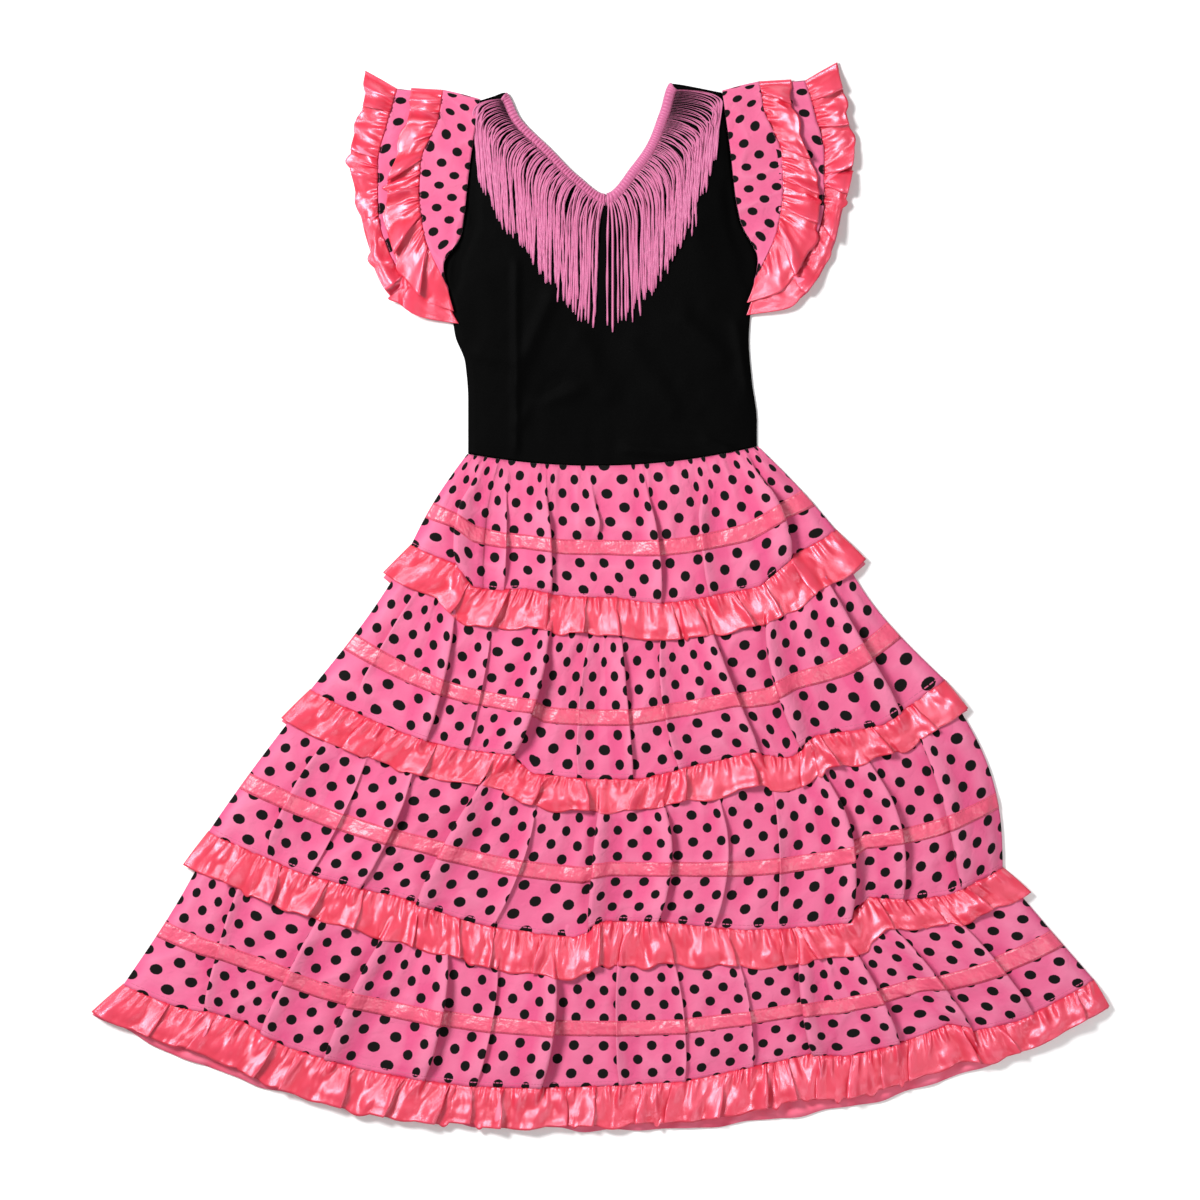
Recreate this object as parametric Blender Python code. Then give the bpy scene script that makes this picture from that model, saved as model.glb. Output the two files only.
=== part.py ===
"""Girl's flamenco dress laid flat with its front up: a black bodice with a fringed V neck, two-tier
flounced sleeves, and a skirt of four dotted tiers, each with a ribbon and a gathered satin ruffle.

X runs across the dress, Y up it to the neck, and Z up from the surface that it lies on. The origin is
under the middle of the dress. Lengths in the tables are millimetres.
"""

import math

import bmesh
import bpy
from mathutils import Vector

MM = 0.001
ORIGIN = Vector((0.0, 9.8, 0.0))  # the middle of the outline, in the tables' own millimetres

# Walls and the layers they lie in, from the surface up
CLOTH = 1.0
GAP = 0.3
STEP_UP = CLOTH + GAP
BACK_LOW = 0.0
BACK_OVER = BACK_LOW + STEP_UP
FRONT_LOW = BACK_OVER + STEP_UP
FRONT_OVER = FRONT_LOW + STEP_UP
BODICE_FRONT_LOW = BACK_LOW + STEP_UP
STEEPEST = 0.6

# Skirt
TUCK = 7.0
TUCK_INSET = 0.012
RIBBON_TOP = 0.58
RIBBON_BOTTOM = 0.69
TIER_ROWS = (0.0, 0.22, 0.4, RIBBON_TOP, RIBBON_BOTTOM, 0.92, 1.0)
BACK_COLUMNS = 14
BACK_RUFFLE_COLUMNS = 26
WAVE_SIDES = 5
WAVE_RISE = 6.0
WAVE_SWING = 1.6
RUFFLE_LIFT = 1.3
RUFFLE_ROWS = (0.0, 1.0)


def table(columns, *rows):
    """Rows of numbers under named columns."""
    return [dict(zip(columns.split(), row)) for row in rows]


# The waist, the seams under the tiers and the free edges of the ruffles, left to right
LINES = table(
    "name x_left x_right y_left y_right sag roundness",
    ("waist", -104.0, 123.0, 120.2, 126.0, 12.0, 2.0),
    ("seam_1", -147.8, 183.7, 48.8, 60.5, 48.4, 3.0),
    ("seam_2", -226.6, 268.7, -64.4, -56.6, 67.9, 2.2),
    ("seam_3", -306.0, 314.0, -175.1, -203.2, 62.6, 2.0),
    ("seam_4", -372.5, 385.0, -294.5, -290.6, 80.7, 2.4),
    ("edge_1", -169.7, 207.1, 26.9, 37.1, 54.2, 3.0),
    ("edge_2", -249.2, 286.7, -85.4, -78.4, 71.8, 2.2),
    ("edge_3", -325.7, 336.0, -199.3, -220.4, 73.3, 2.0),
    ("edge_4", -397.0, 397.0, -314.0, -310.0, 93.0, 2.4),
)
LINE = {row["name"]: row for row in LINES}

TIERS = table(
    "number top bottom bulge_left bulge_right waves",
    (1, "waist", "seam_1", -3.0, 2.0, 12),
    (2, "seam_1", "seam_2", 6.0, -14.0, 14),
    (3, "seam_2", "seam_3", 0.0, 14.0, 19),
    (4, "seam_3", "seam_4", 6.0, -3.0, 25),
)

# Knife folds of the front panels, as shares of the tier's width at its top and bottom.
# A fold climbs from its foot on one side and drops sharply past its crest. Lean 1 drops to the right.
FOLDS = {
    1: table(
        "top bottom rise lean",
        (0.06, 0.12, 5.0, -1),
        (0.16, 0.22, 2.5, 1),
        (0.28, 0.325, 5.0, 1),
        (0.43, 0.46, 2.5, -1),
        (0.655, 0.586, 4.0, 1),
        (0.80, 0.708, 4.5, -1),
        (0.94, 0.88, 6.5, 1),
    ),
    2: table(
        "top bottom rise lean",
        (0.04, 0.06, 3.0, -1),
        (0.115, 0.178, 5.5, 1),
        (0.21, 0.25, 2.0, 1),
        (0.34, 0.31, 7.0, 1),
        (0.43, 0.42, 2.0, -1),
        (0.50, 0.507, 4.0, 1),
        (0.59, 0.583, 4.0, -1),
        (0.69, 0.70, 6.0, 1),
        (0.84, 0.78, 6.5, -1),
        (0.965, 0.925, 7.0, 1),
    ),
    3: table(
        "top bottom rise lean",
        (0.035, 0.085, 4.0, -1),
        (0.11, 0.13, 2.0, 1),
        (0.18, 0.19, 4.0, 1),
        (0.288, 0.27, 6.5, -1),
        (0.37, 0.36, 2.5, 1),
        (0.454, 0.485, 6.0, -1),
        (0.545, 0.56, 6.0, 1),
        (0.635, 0.636, 4.0, 1),
        (0.71, 0.715, 2.5, -1),
        (0.783, 0.80, 7.0, 1),
        (0.85, 0.87, 5.5, 1),
        (0.945, 0.96, 6.5, -1),
    ),
    4: table(
        "top bottom rise lean",
        (0.04, 0.085, 4.0, -1),
        (0.155, 0.145, 5.0, -1),
        (0.24, 0.214, 6.5, -1),
        (0.30, 0.305, 6.0, 1),
        (0.37, 0.365, 2.5, 1),
        (0.432, 0.424, 6.5, 1),
        (0.51, 0.51, 3.0, -1),
        (0.585, 0.58, 3.0, 1),
        (0.665, 0.65, 3.0, 1),
        (0.745, 0.715, 6.0, -1),
        (0.79, 0.795, 5.5, 1),
        (0.845, 0.87, 5.5, 1),
        (0.915, 0.935, 5.0, 1),
    ),
}
FOLD_CLIMB = 0.022
FOLD_DROP = 0.007

# How a fold's height changes down its tier: pressed flat where the tier hangs from the seam
SWELL = table("down share", (0.0, 0.0), (0.22, 0.12), (0.4, 0.65), (0.6, 1.0), (1.0, 0.55))

# Underside of the panels, down each tier. The first tier starts level with the bodice.
BACK_LEVEL = table("down z", (0.0, BACK_OVER), (RIBBON_BOTTOM, BACK_OVER), (0.92, BACK_LOW), (1.0, BACK_LOW))
BACK_LEVEL_FIRST = table(
    "down z", (0.0, BACK_LOW), (0.4, BACK_LOW), (RIBBON_TOP, BACK_OVER), (RIBBON_BOTTOM, BACK_OVER),
    (0.92, BACK_LOW), (1.0, BACK_LOW),
)
FRONT_LEVEL = table("down z", (0.0, FRONT_LOW), (RIBBON_BOTTOM, FRONT_LOW), (0.92, FRONT_OVER), (1.0, FRONT_OVER))
FRONT_LEVEL_FIRST = table(
    "down z", (0.0, BODICE_FRONT_LOW), (0.22, FRONT_LOW), (RIBBON_BOTTOM, FRONT_LOW),
    (0.92, FRONT_OVER), (1.0, FRONT_OVER),
)

# Bodice outline: the armhole and side seam of each side, then the shoulders and the V between them
BODICE_LEFT = table(
    "y x",
    (395.9, -94.0), (345.2, -101.8), (310.1, -105.7), (290.6, -108.8), (264.8, -122.9),
    (239.9, -117.4), (212.6, -113.5), (191.5, -105.7), (161.9, -103.4), (120.5, -103.4),
)
BODICE_RIGHT = table(
    "y x",
    (402.1, 94.8), (356.9, 101.0), (321.8, 104.9), (302.3, 108.8), (269.5, 122.9),
    (239.9, 119.0), (224.3, 116.6), (208.7, 115.8), (177.5, 118.2), (146.3, 122.1), (126.3, 122.1),
)
BODICE_TOP = table(
    "share x y",
    (0.0, -94.0, 395.9), (0.06, -84.0, 399.0), (0.12, -74.5, 402.1), (0.20, -62.8, 381.8),
    (0.30, -39.4, 358.4), (0.40, -18.3, 337.4), (0.50, 4.3, 322.5), (0.60, 24.6, 343.5),
    (0.70, 38.0, 363.1), (0.80, 47.0, 386.5), (0.88, 55.8, 409.0), (1.0, 94.8, 402.1),
)
BODICE_COLUMNS = tuple(row["share"] for row in BODICE_TOP)
BODICE_ROWS = (0.0, 0.09, 0.17, 0.25, 0.32, 0.38, 0.43, 0.476, 0.53, 0.6, 0.67, 0.75, 0.87, 1.0)

# Neck fringe
BRAID_WIDTH = 7.0
BRAID_THICK = 1.2
STRANDS = 38
STRAND_WIDTH = 1.2
STRAND_STEPS = (0.12, 0.45, 1.0)
STRAND_UNEVEN = 0.05
MITRE = 1.4

# Each side's neck edge as shares of the bodice's top, and how far its strands lie out and hang down
NECK_SIDES = table(
    "side start end out_shoulder out_centre drop_shoulder drop_centre",
    ("left", 0.125, 0.492, -18.0, -6.0, 68.0, 94.0),
    ("right", 0.875, 0.508, 34.0, 5.0, 50.0, 98.0),
)

# Left sleeve, from the armhole out. Each line runs from the shoulder fold down to the underarm.
SLEEVE_LINES = {
    "upper_seam": table(
        "share x y",
        (0.0, -122.9, 402.0), (0.2, -126.0, 382.0), (0.4, -140.0, 347.0), (0.6, -141.0, 320.0),
        (0.8, -137.0, 290.0), (1.0, -131.0, 262.0),
    ),
    "upper_edge": table(
        "share x y",
        (0.0, -147.8, 403.5), (0.2, -152.0, 376.0), (0.4, -166.0, 334.0), (0.6, -168.0, 312.0),
        (0.8, -151.0, 275.0), (1.0, -124.5, 242.0),
    ),
    "lower_seam": table(
        "share x y",
        (0.0, -158.7, 404.0), (0.2, -166.0, 378.0), (0.4, -173.5, 345.0), (0.6, -173.0, 308.0),
        (0.8, -157.5, 266.0), (1.0, -126.5, 233.5),
    ),
    "lower_edge": table(
        "share x y",
        (0.0, -183.7, 417.7), (0.2, -191.0, 381.0), (0.4, -197.0, 350.0), (0.6, -190.0, 308.0),
        (0.8, -171.0, 256.0), (1.0, -122.0, 222.0),
    ),
}
ARMHOLE_TOP = 395.5
ARMHOLE_BOTTOM = 264.8
SLEEVE_PIECES = table(
    "name inner outer waves back_low front_low fold_inset",
    ("upper_tier", "armhole", "upper_seam", 0, BACK_LOW, FRONT_OVER, 0.0),
    ("upper_ruffle", "upper_seam", "upper_edge", 8, BACK_LOW, FRONT_OVER, 0.0),
    ("lower_tier", "upper_seam", "lower_seam", 0, BACK_OVER, FRONT_LOW, 2.2),
    ("lower_ruffle", "lower_seam", "lower_edge", 9, BACK_OVER, FRONT_LOW, 0.0),
)
SLEEVE_MIRROR_SHIFT = (1.2, 6.6)
SLEEVE_WAVE_RISE = 5.0
SLEEVE_TUCK = 5.0
SLEEVE_BACK_COLUMNS = 6
SLEEVE_TIER_COLUMNS = 10
SLEEVE_ROWS = (0.0, 0.5, 1.0)
FOLD_TURN = ((0.25, 0.75), (0.5, 1.0), (0.75, 0.75))

DOTTED = ("dotted_cotton", (0.96, 0.15, 0.37), 0.85)
SATIN = ("coral_satin", (0.86, 0.12, 0.20), 0.35)
JERSEY = ("black_jersey", (0.008, 0.008, 0.009), 0.9)
YARN = ("fringe_yarn", (0.80, 0.20, 0.40), 0.55)


def between(low, high, share):
    return low + (high - low) * share


def to_scene(place):
    return (Vector(place) - ORIGIN) * MM


def read(rows, key, at, column):
    """The value of a table's column at a place along its key column, which rises or falls steadily."""
    falling = rows[0][key] > rows[-1][key]
    ordered = rows[::-1] if falling else rows
    for low, high in zip(ordered, ordered[1:]):
        if at <= high[key]:
            share = max(0.0, (at - low[key]) / (high[key] - low[key]))
            return between(low[column], high[column], share)
    return ordered[-1][column]


def on_line(name, share):
    """A point on a seam or a free edge of the skirt."""
    line = LINE[name]
    bow = 1 - abs(2 * share - 1) ** line["roundness"]
    x = between(line["x_left"], line["x_right"], share)
    y = between(line["y_left"], line["y_right"], share) - line["sag"] * bow
    return x, y


def make_material(look):
    name, colour, roughness = look
    material = bpy.data.materials.new(name)
    material.use_nodes = True
    shader = material.node_tree.nodes["Principled BSDF"]
    shader.inputs["Base Color"].default_value = (*colour, 1.0)
    shader.inputs["Roughness"].default_value = roughness
    shader.inputs["Metallic"].default_value = 0.0
    return material


def add_object(name, bm, look):
    bmesh.ops.recalc_face_normals(bm, faces=bm.faces[:])
    if bm.calc_volume(signed=True) < 0:
        bmesh.ops.reverse_faces(bm, faces=bm.faces[:])
    mesh = bpy.data.meshes.new(name)
    bm.to_mesh(mesh)
    bm.free()
    mesh.materials.append(make_material(look))
    mesh.shade_smooth()
    mesh.set_sharp_from_angle(angle=math.radians(35))
    piece = bpy.data.objects.new(name, mesh)
    bpy.context.scene.collection.objects.link(piece)


def cloth(name, across, down, outer, inner, look):
    """One closed wall. outer and inner place its two faces, at every pair of an across and a down value."""
    bm = bmesh.new()
    columns, rows = len(across) - 1, len(down) - 1
    bmesh.ops.create_grid(bm, x_segments=columns, y_segments=rows, size=0.5)
    skin = bmesh.ops.extrude_face_region(bm, geom=bm.faces[:])
    lifted = {item for item in skin["geom"] if isinstance(item, bmesh.types.BMVert)}
    places = {}
    for vert in bm.verts:
        u = across[round((vert.co.x + 0.5) * columns)]
        v = down[round((vert.co.y + 0.5) * rows)]
        places[vert] = inner(u, v) if vert in lifted else outer(u, v)
    for vert, place in places.items():
        vert.co = to_scene(place)
    add_object(name, bm, look)


def thicken(surface, thick):
    """A wall's other face, so much above the surface or below it that the wall keeps its thickness on slopes."""
    small = 0.004

    def other(u, v):
        x, y, z = surface(u, v)
        along = Vector(surface(u + small, v)) - Vector(surface(u - small, v))
        down = Vector(surface(u, v + small)) - Vector(surface(u, v - small))
        normal = along.cross(down).normalized()
        return x, y, z + thick / max(abs(normal.z), STEEPEST)

    return other


def even_shares(count):
    return tuple(k / count for k in range(count + 1))


def fold_columns(number):
    """The columns of a tier: its edges, then each fold's foot, crest and drop, with its height there."""
    columns = [{"top": 0.0, "bottom": 0.0, "rise": 0.0}]
    for fold in FOLDS[number]:
        before, after = (FOLD_CLIMB, FOLD_DROP) if fold["lean"] > 0 else (FOLD_DROP, FOLD_CLIMB)
        for shift, rise in ((-before, 0.0), (0.0, fold["rise"]), (after, 0.0)):
            columns.append({"top": fold["top"] + shift, "bottom": fold["bottom"] + shift, "rise": rise})
    columns.append({"top": 1.0, "bottom": 1.0, "rise": 0.0})
    return columns


def tier_place(tier, top_share, bottom_share, down):
    """A point of a tier: a share of its width at its top and bottom, and the share of the way down it."""
    tucked = tier["number"] > 1
    inset = TUCK_INSET if tucked else 0.0
    share = between(inset, 1 - inset, between(top_share, bottom_share, down) if tucked else top_share)
    x_top, y_top = on_line(tier["top"], share)
    x_bottom, y_bottom = on_line(tier["bottom"], bottom_share)
    y_top += TUCK if tucked else -GAP
    bulge = between(tier["bulge_left"], tier["bulge_right"], bottom_share) * math.sin(math.pi * down)
    return between(x_top, x_bottom, down) + bulge, between(y_top, y_bottom, down)


def tier_front_surface(tier):
    columns = fold_columns(tier["number"])
    levels = FRONT_LEVEL_FIRST if tier["number"] == 1 else FRONT_LEVEL

    def surface(u, v):
        low = min(max(int(u), 0), len(columns) - 2)
        part = u - low
        top, bottom, rise = (
            between(columns[low][key], columns[low + 1][key], part) for key in ("top", "bottom", "rise")
        )
        x, y = tier_place(tier, top, bottom, v)
        z = read(levels, "down", v, "z") + CLOTH + rise * read(SWELL, "down", v, "share")
        return x, y, z

    return surface, tuple(range(len(columns)))


def raised(surface, lift):
    def moved(u, v):
        x, y, z = surface(u, v)
        return x, y, z + lift

    return moved


def make_tier(tier):
    number = tier["number"]
    surface, columns = tier_front_surface(tier)
    cloth(f"skirt_tier_{number}_front", columns, TIER_ROWS, surface, thicken(surface, -CLOTH), DOTTED)
    band = (RIBBON_TOP, RIBBON_BOTTOM)
    under_ribbon = raised(surface, GAP)
    cloth(f"skirt_ribbon_{number}_front", columns, band, thicken(under_ribbon, CLOTH), under_ribbon, SATIN)
    levels = BACK_LEVEL_FIRST if number == 1 else BACK_LEVEL

    def back(u, v):
        x, y = tier_place(tier, u, u, v)
        return x, y, read(levels, "down", v, "z")

    def ribbon(u, v):
        x, y, _ = back(u, v)
        return x, y, BACK_LOW

    shares = even_shares(BACK_COLUMNS)
    cloth(f"skirt_tier_{number}_back", shares, TIER_ROWS, back, raised(back, CLOTH), DOTTED)
    cloth(f"skirt_ribbon_{number}_back", shares, band, ribbon, raised(ribbon, CLOTH), SATIN)


def make_ruffle(tier):
    number, waves = tier["number"], tier["waves"]
    seam, edge = tier["bottom"], f"edge_{tier['number']}"
    columns = fold_columns(number)
    hem_swell = SWELL[-1]["share"]

    def place(u, v, swing):
        x_seam, y_seam = on_line(seam, u)
        x_edge, y_edge = on_line(edge, u)
        return between(x_seam, x_edge, v), between(y_seam - GAP, y_edge, v) + swing * v

    def front(u, v):
        turn = math.tau * (waves * u + 0.35 * math.sin(math.tau * 2.3 * u + number))
        swing = WAVE_SWING * math.cos(turn)
        x, y = place(u, v, swing)
        seam_rise = read(columns, "bottom", u, "rise") * hem_swell
        size = 1 + 0.3 * math.sin(math.tau * 3.1 * u + number)
        wave = WAVE_RISE * size * (0.5 + 0.5 * math.sin(turn)) * v
        return x, y, FRONT_OVER + CLOTH + RUFFLE_LIFT * v + seam_rise * (1 - v) + wave

    def back(u, v):
        x, y = place(u, v, 0.0)
        return x, y, BACK_LOW

    cloth(
        f"skirt_ruffle_{number}_front", even_shares(waves * WAVE_SIDES), RUFFLE_ROWS,
        front, thicken(front, -CLOTH), SATIN,
    )
    cloth(
        f"skirt_ruffle_{number}_back", even_shares(BACK_RUFFLE_COLUMNS), (0.0, 1.0),
        back, raised(back, CLOTH), SATIN,
    )


def bodice_place(u, v):
    """A point of the bodice: a share across it, and the share of the way from its top to the waist."""
    sides = []
    for rows in (BODICE_LEFT, BODICE_RIGHT):
        y_side = between(rows[0]["y"], rows[-1]["y"], v)
        sides.append(read(rows, "y", y_side, "x"))
    x_first, x_last = BODICE_TOP[0]["x"], BODICE_TOP[-1]["x"]
    top_share = (read(BODICE_TOP, "share", u, "x") - x_first) / (x_last - x_first)
    x = between(*sides, between(top_share, u, v))
    y = between(read(BODICE_TOP, "share", u, "y"), on_line("waist", u)[1], v)
    return x, y


def make_bodice():
    for name, low in (("bodice_back", BACK_LOW), ("bodice_front", BODICE_FRONT_LOW)):

        def face(u, v, low=low):
            x, y = bodice_place(u, v)
            return x, y, low

        cloth(name, BODICE_COLUMNS, BODICE_ROWS, face, raised(face, CLOTH), JERSEY)


def neck_point(neck, share):
    """A point on the front neck edge, from the shoulder to the V, and the way from it to the braid's root edge."""
    start, end = neck["start"], neck["end"]
    small = 0.004
    place = Vector(bodice_place(between(start, end, share), 0.0))
    before = Vector(bodice_place(between(start, end, share - small), 0.0))
    after = Vector(bodice_place(between(start, end, share + small), 0.0))
    along = (after - before).normalized()
    off = Vector((along.y, -along.x))
    if off.y > 0:
        off = -off
    return place, off


def make_fringe(neck):
    """The braid is one strip. Every second face of its root edge is drawn out into a strand."""
    low = BODICE_FRONT_LOW + CLOTH + GAP
    high = low + BRAID_THICK
    stations = even_shares(2 * STRANDS + 1)

    def outer(u, v):
        place, off = neck_point(neck, u)
        width = BRAID_WIDTH * v
        x, y = place + off * width
        if u == 1.0:
            x, y = place.x, place.y - MITRE * width
        return x, y, high

    def inner(u, v):
        x, y, _ = outer(u, v)
        return x, y, low

    bm = bmesh.new()
    columns = len(stations) - 1
    bmesh.ops.create_grid(bm, x_segments=columns, y_segments=1, size=0.5)
    skin = bmesh.ops.extrude_face_region(bm, geom=bm.faces[:])
    lifted = {item for item in skin["geom"] if isinstance(item, bmesh.types.BMVert)}
    station = {vert: round((vert.co.x + 0.5) * columns) for vert in bm.verts}
    depth = {vert: round(vert.co.y + 0.5) for vert in bm.verts}
    roots = {}
    for face in bm.faces:
        if all(depth[vert] == 1 for vert in face.verts):
            first = min(station[vert] for vert in face.verts)
            if first % 2 == 1:
                roots[first] = face
    for vert in bm.verts:
        place = inner if vert in lifted else outer
        vert.co = to_scene(place(stations[station[vert]], depth[vert]))
    for first, face in sorted(roots.items()):
        share = (stations[first] + stations[first + 1]) / 2
        place, off = neck_point(neck, share)
        root = place + off * BRAID_WIDTH
        drop = between(neck["drop_shoulder"], neck["drop_centre"], share)
        drop *= 1 + STRAND_UNEVEN * math.sin(first * 2.4)
        reach = between(neck["out_shoulder"], neck["out_centre"], share)
        end = face
        for step in STRAND_STEPS:
            made = bmesh.ops.extrude_discrete_faces(bm, faces=[end])
            end = made["faces"][0]
            middle = root + Vector((reach * (1 - (1 - step) ** 2), -drop * step ** 1.2))
            turned = min(1.0, 2.2 * step)
            width_way = Vector((-off.y, off.x)).lerp(Vector((1.0, 0.0)), turned).normalized()
            if width_way.x < 0:
                width_way = -width_way
            centre = end.calc_center_median()
            for vert in end.verts:
                way = 1 if (vert.co - centre).xy.dot(width_way) > 0 else -1
                z = high if vert.co.z > centre.z else low
                spot = middle + width_way * (way * STRAND_WIDTH / 2)
                vert.co = to_scene((spot.x, spot.y, z))
    add_object(f"neck_fringe_{neck['side']}", bm, YARN)


def armhole_spot(side, share):
    """A point just off the bodice's armhole, in the left sleeve's terms."""
    y = between(ARMHOLE_TOP, ARMHOLE_BOTTOM, share)
    if side == "left":
        return read(BODICE_LEFT, "y", y, "x") - GAP, y
    x = read(BODICE_RIGHT, "y", y + SLEEVE_MIRROR_SHIFT[1], "x") + GAP
    return SLEEVE_MIRROR_SHIFT[0] - x, y


def sleeve_spot(side, piece, share, out):
    if piece["inner"] == "armhole":
        x_in, y_in = armhole_spot(side, share)
    else:
        x_in, y_in = (read(SLEEVE_LINES[piece["inner"]], "share", share, key) for key in ("x", "y"))
    x_out, y_out = (read(SLEEVE_LINES[piece["outer"]], "share", share, key) for key in ("x", "y"))
    return between(x_in, x_out, out), between(y_in, y_out, out)


def make_sleeve(side):
    """Each sleeve piece is one length folded over the shoulder line, with its back half on the surface."""
    for piece in SLEEVE_PIECES:
        waves = piece["waves"]
        ruffled = waves > 0
        lower = piece["name"] == "lower_tier"
        front_count = waves * WAVE_SIDES if ruffled else SLEEVE_TIER_COLUMNS
        back_shares = [-share for share in even_shares(SLEEVE_BACK_COLUMNS)[::-1]]
        turn_marks = [10.0, 11.0, 12.0]
        front_shares = [2.0 + share for share in even_shares(front_count)]
        across = tuple(back_shares + turn_marks + front_shares)

        def face(u, v, wall, piece=piece, ruffled=ruffled, lower=lower, waves=waves):
            """wall is 0 on the outer face and the cloth's thickness on the inner one."""
            back_z = piece["back_low"] + wall
            front_z = piece["front_low"] + CLOTH - wall
            if piece["name"] == "lower_ruffle":
                back_z -= BACK_OVER * min(1.0, 2 * v)
            if piece["name"] == "upper_tier":
                front_z -= STEP_UP * max(0.0, 1 - 2 * v)
            share = 0.0 if u >= 10 else (u - 2.0 if u >= 2.0 else -u)
            x, y = sleeve_spot(side, piece, share, v)
            if lower:
                x += SLEEVE_TUCK * (1 - 0.9 * share) * (1 - v)
            else:
                x -= GAP * (1 - v) if piece["name"] != "upper_tier" else 0.0
                x += GAP * v if piece["name"] == "upper_tier" else 0.0
            y -= piece["fold_inset"] * (1 - share) * (1 - v)
            if u >= 10:
                rise, push = FOLD_TURN[int(u) - 10]
                radius = (front_z - back_z) / 2
                return x, y + radius * push, between(back_z, front_z, rise)
            if u < 2.0:
                return x, y, back_z
            fade = min(1.0, share * 6)
            if ruffled:
                turn = math.tau * (waves * share + 0.3 * math.sin(math.tau * 1.7 * share))
                rise = SLEEVE_WAVE_RISE * (0.5 - 0.5 * math.cos(turn)) * v * fade
                front_z += rise + RUFFLE_LIFT * 0.5 * v * fade
                x -= 1.2 * math.sin(turn) * v * fade
            return x, y, front_z

        def outer(u, v, face=face, side=side):
            x, y, z = face(u, v, 0.0)
            return (x, y, z) if side == "left" else (SLEEVE_MIRROR_SHIFT[0] - x, y + SLEEVE_MIRROR_SHIFT[1], z)

        def inner(u, v, face=face, side=side):
            x, y, z = face(u, v, CLOTH)
            return (x, y, z) if side == "left" else (SLEEVE_MIRROR_SHIFT[0] - x, y + SLEEVE_MIRROR_SHIFT[1], z)

        look = SATIN if ruffled else DOTTED
        cloth(f"sleeve_{side}_{piece['name']}", across, SLEEVE_ROWS, outer, inner, look)


def clear_scene():
    for item in list(bpy.data.objects):
        bpy.data.objects.remove(item)


def main():
    clear_scene()
    make_bodice()
    for neck in NECK_SIDES:
        make_fringe(neck)
        make_sleeve(neck["side"])
    for tier in TIERS:
        make_tier(tier)
        make_ruffle(tier)


main()
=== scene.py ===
import math

import bmesh
import bpy
import numpy as np
from bpy.props import FloatProperty, FloatVectorProperty, IntProperty, PointerProperty
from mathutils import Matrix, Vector
from mathutils.bvhtree import BVHTree


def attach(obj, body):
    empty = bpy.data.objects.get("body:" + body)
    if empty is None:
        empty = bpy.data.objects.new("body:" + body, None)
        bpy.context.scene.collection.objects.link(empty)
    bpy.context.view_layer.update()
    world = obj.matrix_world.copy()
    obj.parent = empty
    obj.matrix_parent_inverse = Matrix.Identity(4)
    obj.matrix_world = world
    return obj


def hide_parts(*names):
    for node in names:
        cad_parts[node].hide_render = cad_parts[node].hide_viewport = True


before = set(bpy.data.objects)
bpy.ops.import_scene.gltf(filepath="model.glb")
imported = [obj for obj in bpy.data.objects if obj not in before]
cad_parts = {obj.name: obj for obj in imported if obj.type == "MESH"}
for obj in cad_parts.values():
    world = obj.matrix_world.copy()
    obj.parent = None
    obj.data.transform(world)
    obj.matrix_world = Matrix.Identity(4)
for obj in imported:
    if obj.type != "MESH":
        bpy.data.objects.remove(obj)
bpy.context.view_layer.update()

bl_info = {
    "name": "Flamenco Dress Laid Flat",
    "version": (1, 0, 0),
    "blender": (4, 5, 0),
    "location": "3D View > Sidebar > Dress",
    "description": "Sews the looks of a flounced flamenco dress onto its packed solids",
    "category": "Add Mesh",
}

# Lengths are millimetres in the tables, from the same point as in the part's source
MM = 0.001
MIDDLE = np.array((0.0, 9.8, 0.0))
BODY = "root"

# Photograph: its frame is 1200 pixels across, and a pixel is 0.78 mm on the dress
PHOTO_PIXELS = 1200
PIXEL_MM = 0.78
PHOTO_CENTRE = Vector((-0.0004, -0.0039, 0.005))
LENS_MM = 115.0
SENSOR_MM = 36.0

# Layers, as the solids have them
CLOTH = 1.0
GAP = 0.3
STEP_UP = CLOTH + GAP
BACK_LOW = 0.0
BACK_OVER = BACK_LOW + STEP_UP
FRONT_LOW = BACK_OVER + STEP_UP
FRONT_OVER = FRONT_LOW + STEP_UP
BODICE_FRONT_LOW = BACK_LOW + STEP_UP
TUCK = 7.0
TUCK_INSET = 0.012
SHELL = 0.45

# Painted shade and light: the cloth's colour is painted darker in hollows and paler on crests. Vertices each
# way that a hollow is measured over, and its full depth
HOLLOW_REACH = 5
HOLLOW_DEPTH = 1.5

# Threads, stitches and the dots' soft edge, in metres
WEAVE_PITCH = 0.0006
SATIN_PITCH = 0.0004
KNIT_RIB = 0.0008
KNIT_LOOP = 0.0006
HEM_STITCH_LONG = 0.003
RIBBON_STITCH_LONG = 0.0026
RIBBON_STITCH_IN = 0.0011
DOT_BLUR = 0.00018
DOTS_BEFORE = 40.0


def table(columns, *rows):
    """Rows of numbers under named columns."""
    return [dict(zip(columns.split(), row)) for row in rows]


LINES = table(
    "name x_left x_right y_left y_right sag roundness",
    ("waist", -104.0, 123.0, 120.2, 126.0, 12.0, 2.0),
    ("seam_1", -147.8, 183.7, 48.8, 60.5, 48.4, 3.0),
    ("seam_2", -226.6, 268.7, -64.4, -56.6, 67.9, 2.2),
    ("seam_3", -306.0, 314.0, -175.1, -203.2, 62.6, 2.0),
    ("seam_4", -372.5, 385.0, -294.5, -290.6, 80.7, 2.4),
    ("edge_1", -169.7, 207.1, 26.9, 37.1, 54.2, 3.0),
    ("edge_2", -249.2, 286.7, -85.4, -78.4, 71.8, 2.2),
    ("edge_3", -325.7, 336.0, -199.3, -220.4, 73.3, 2.0),
    ("edge_4", -397.0, 397.0, -314.0, -310.0, 93.0, 2.4),
)
LINE = {row["name"]: row for row in LINES}

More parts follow.
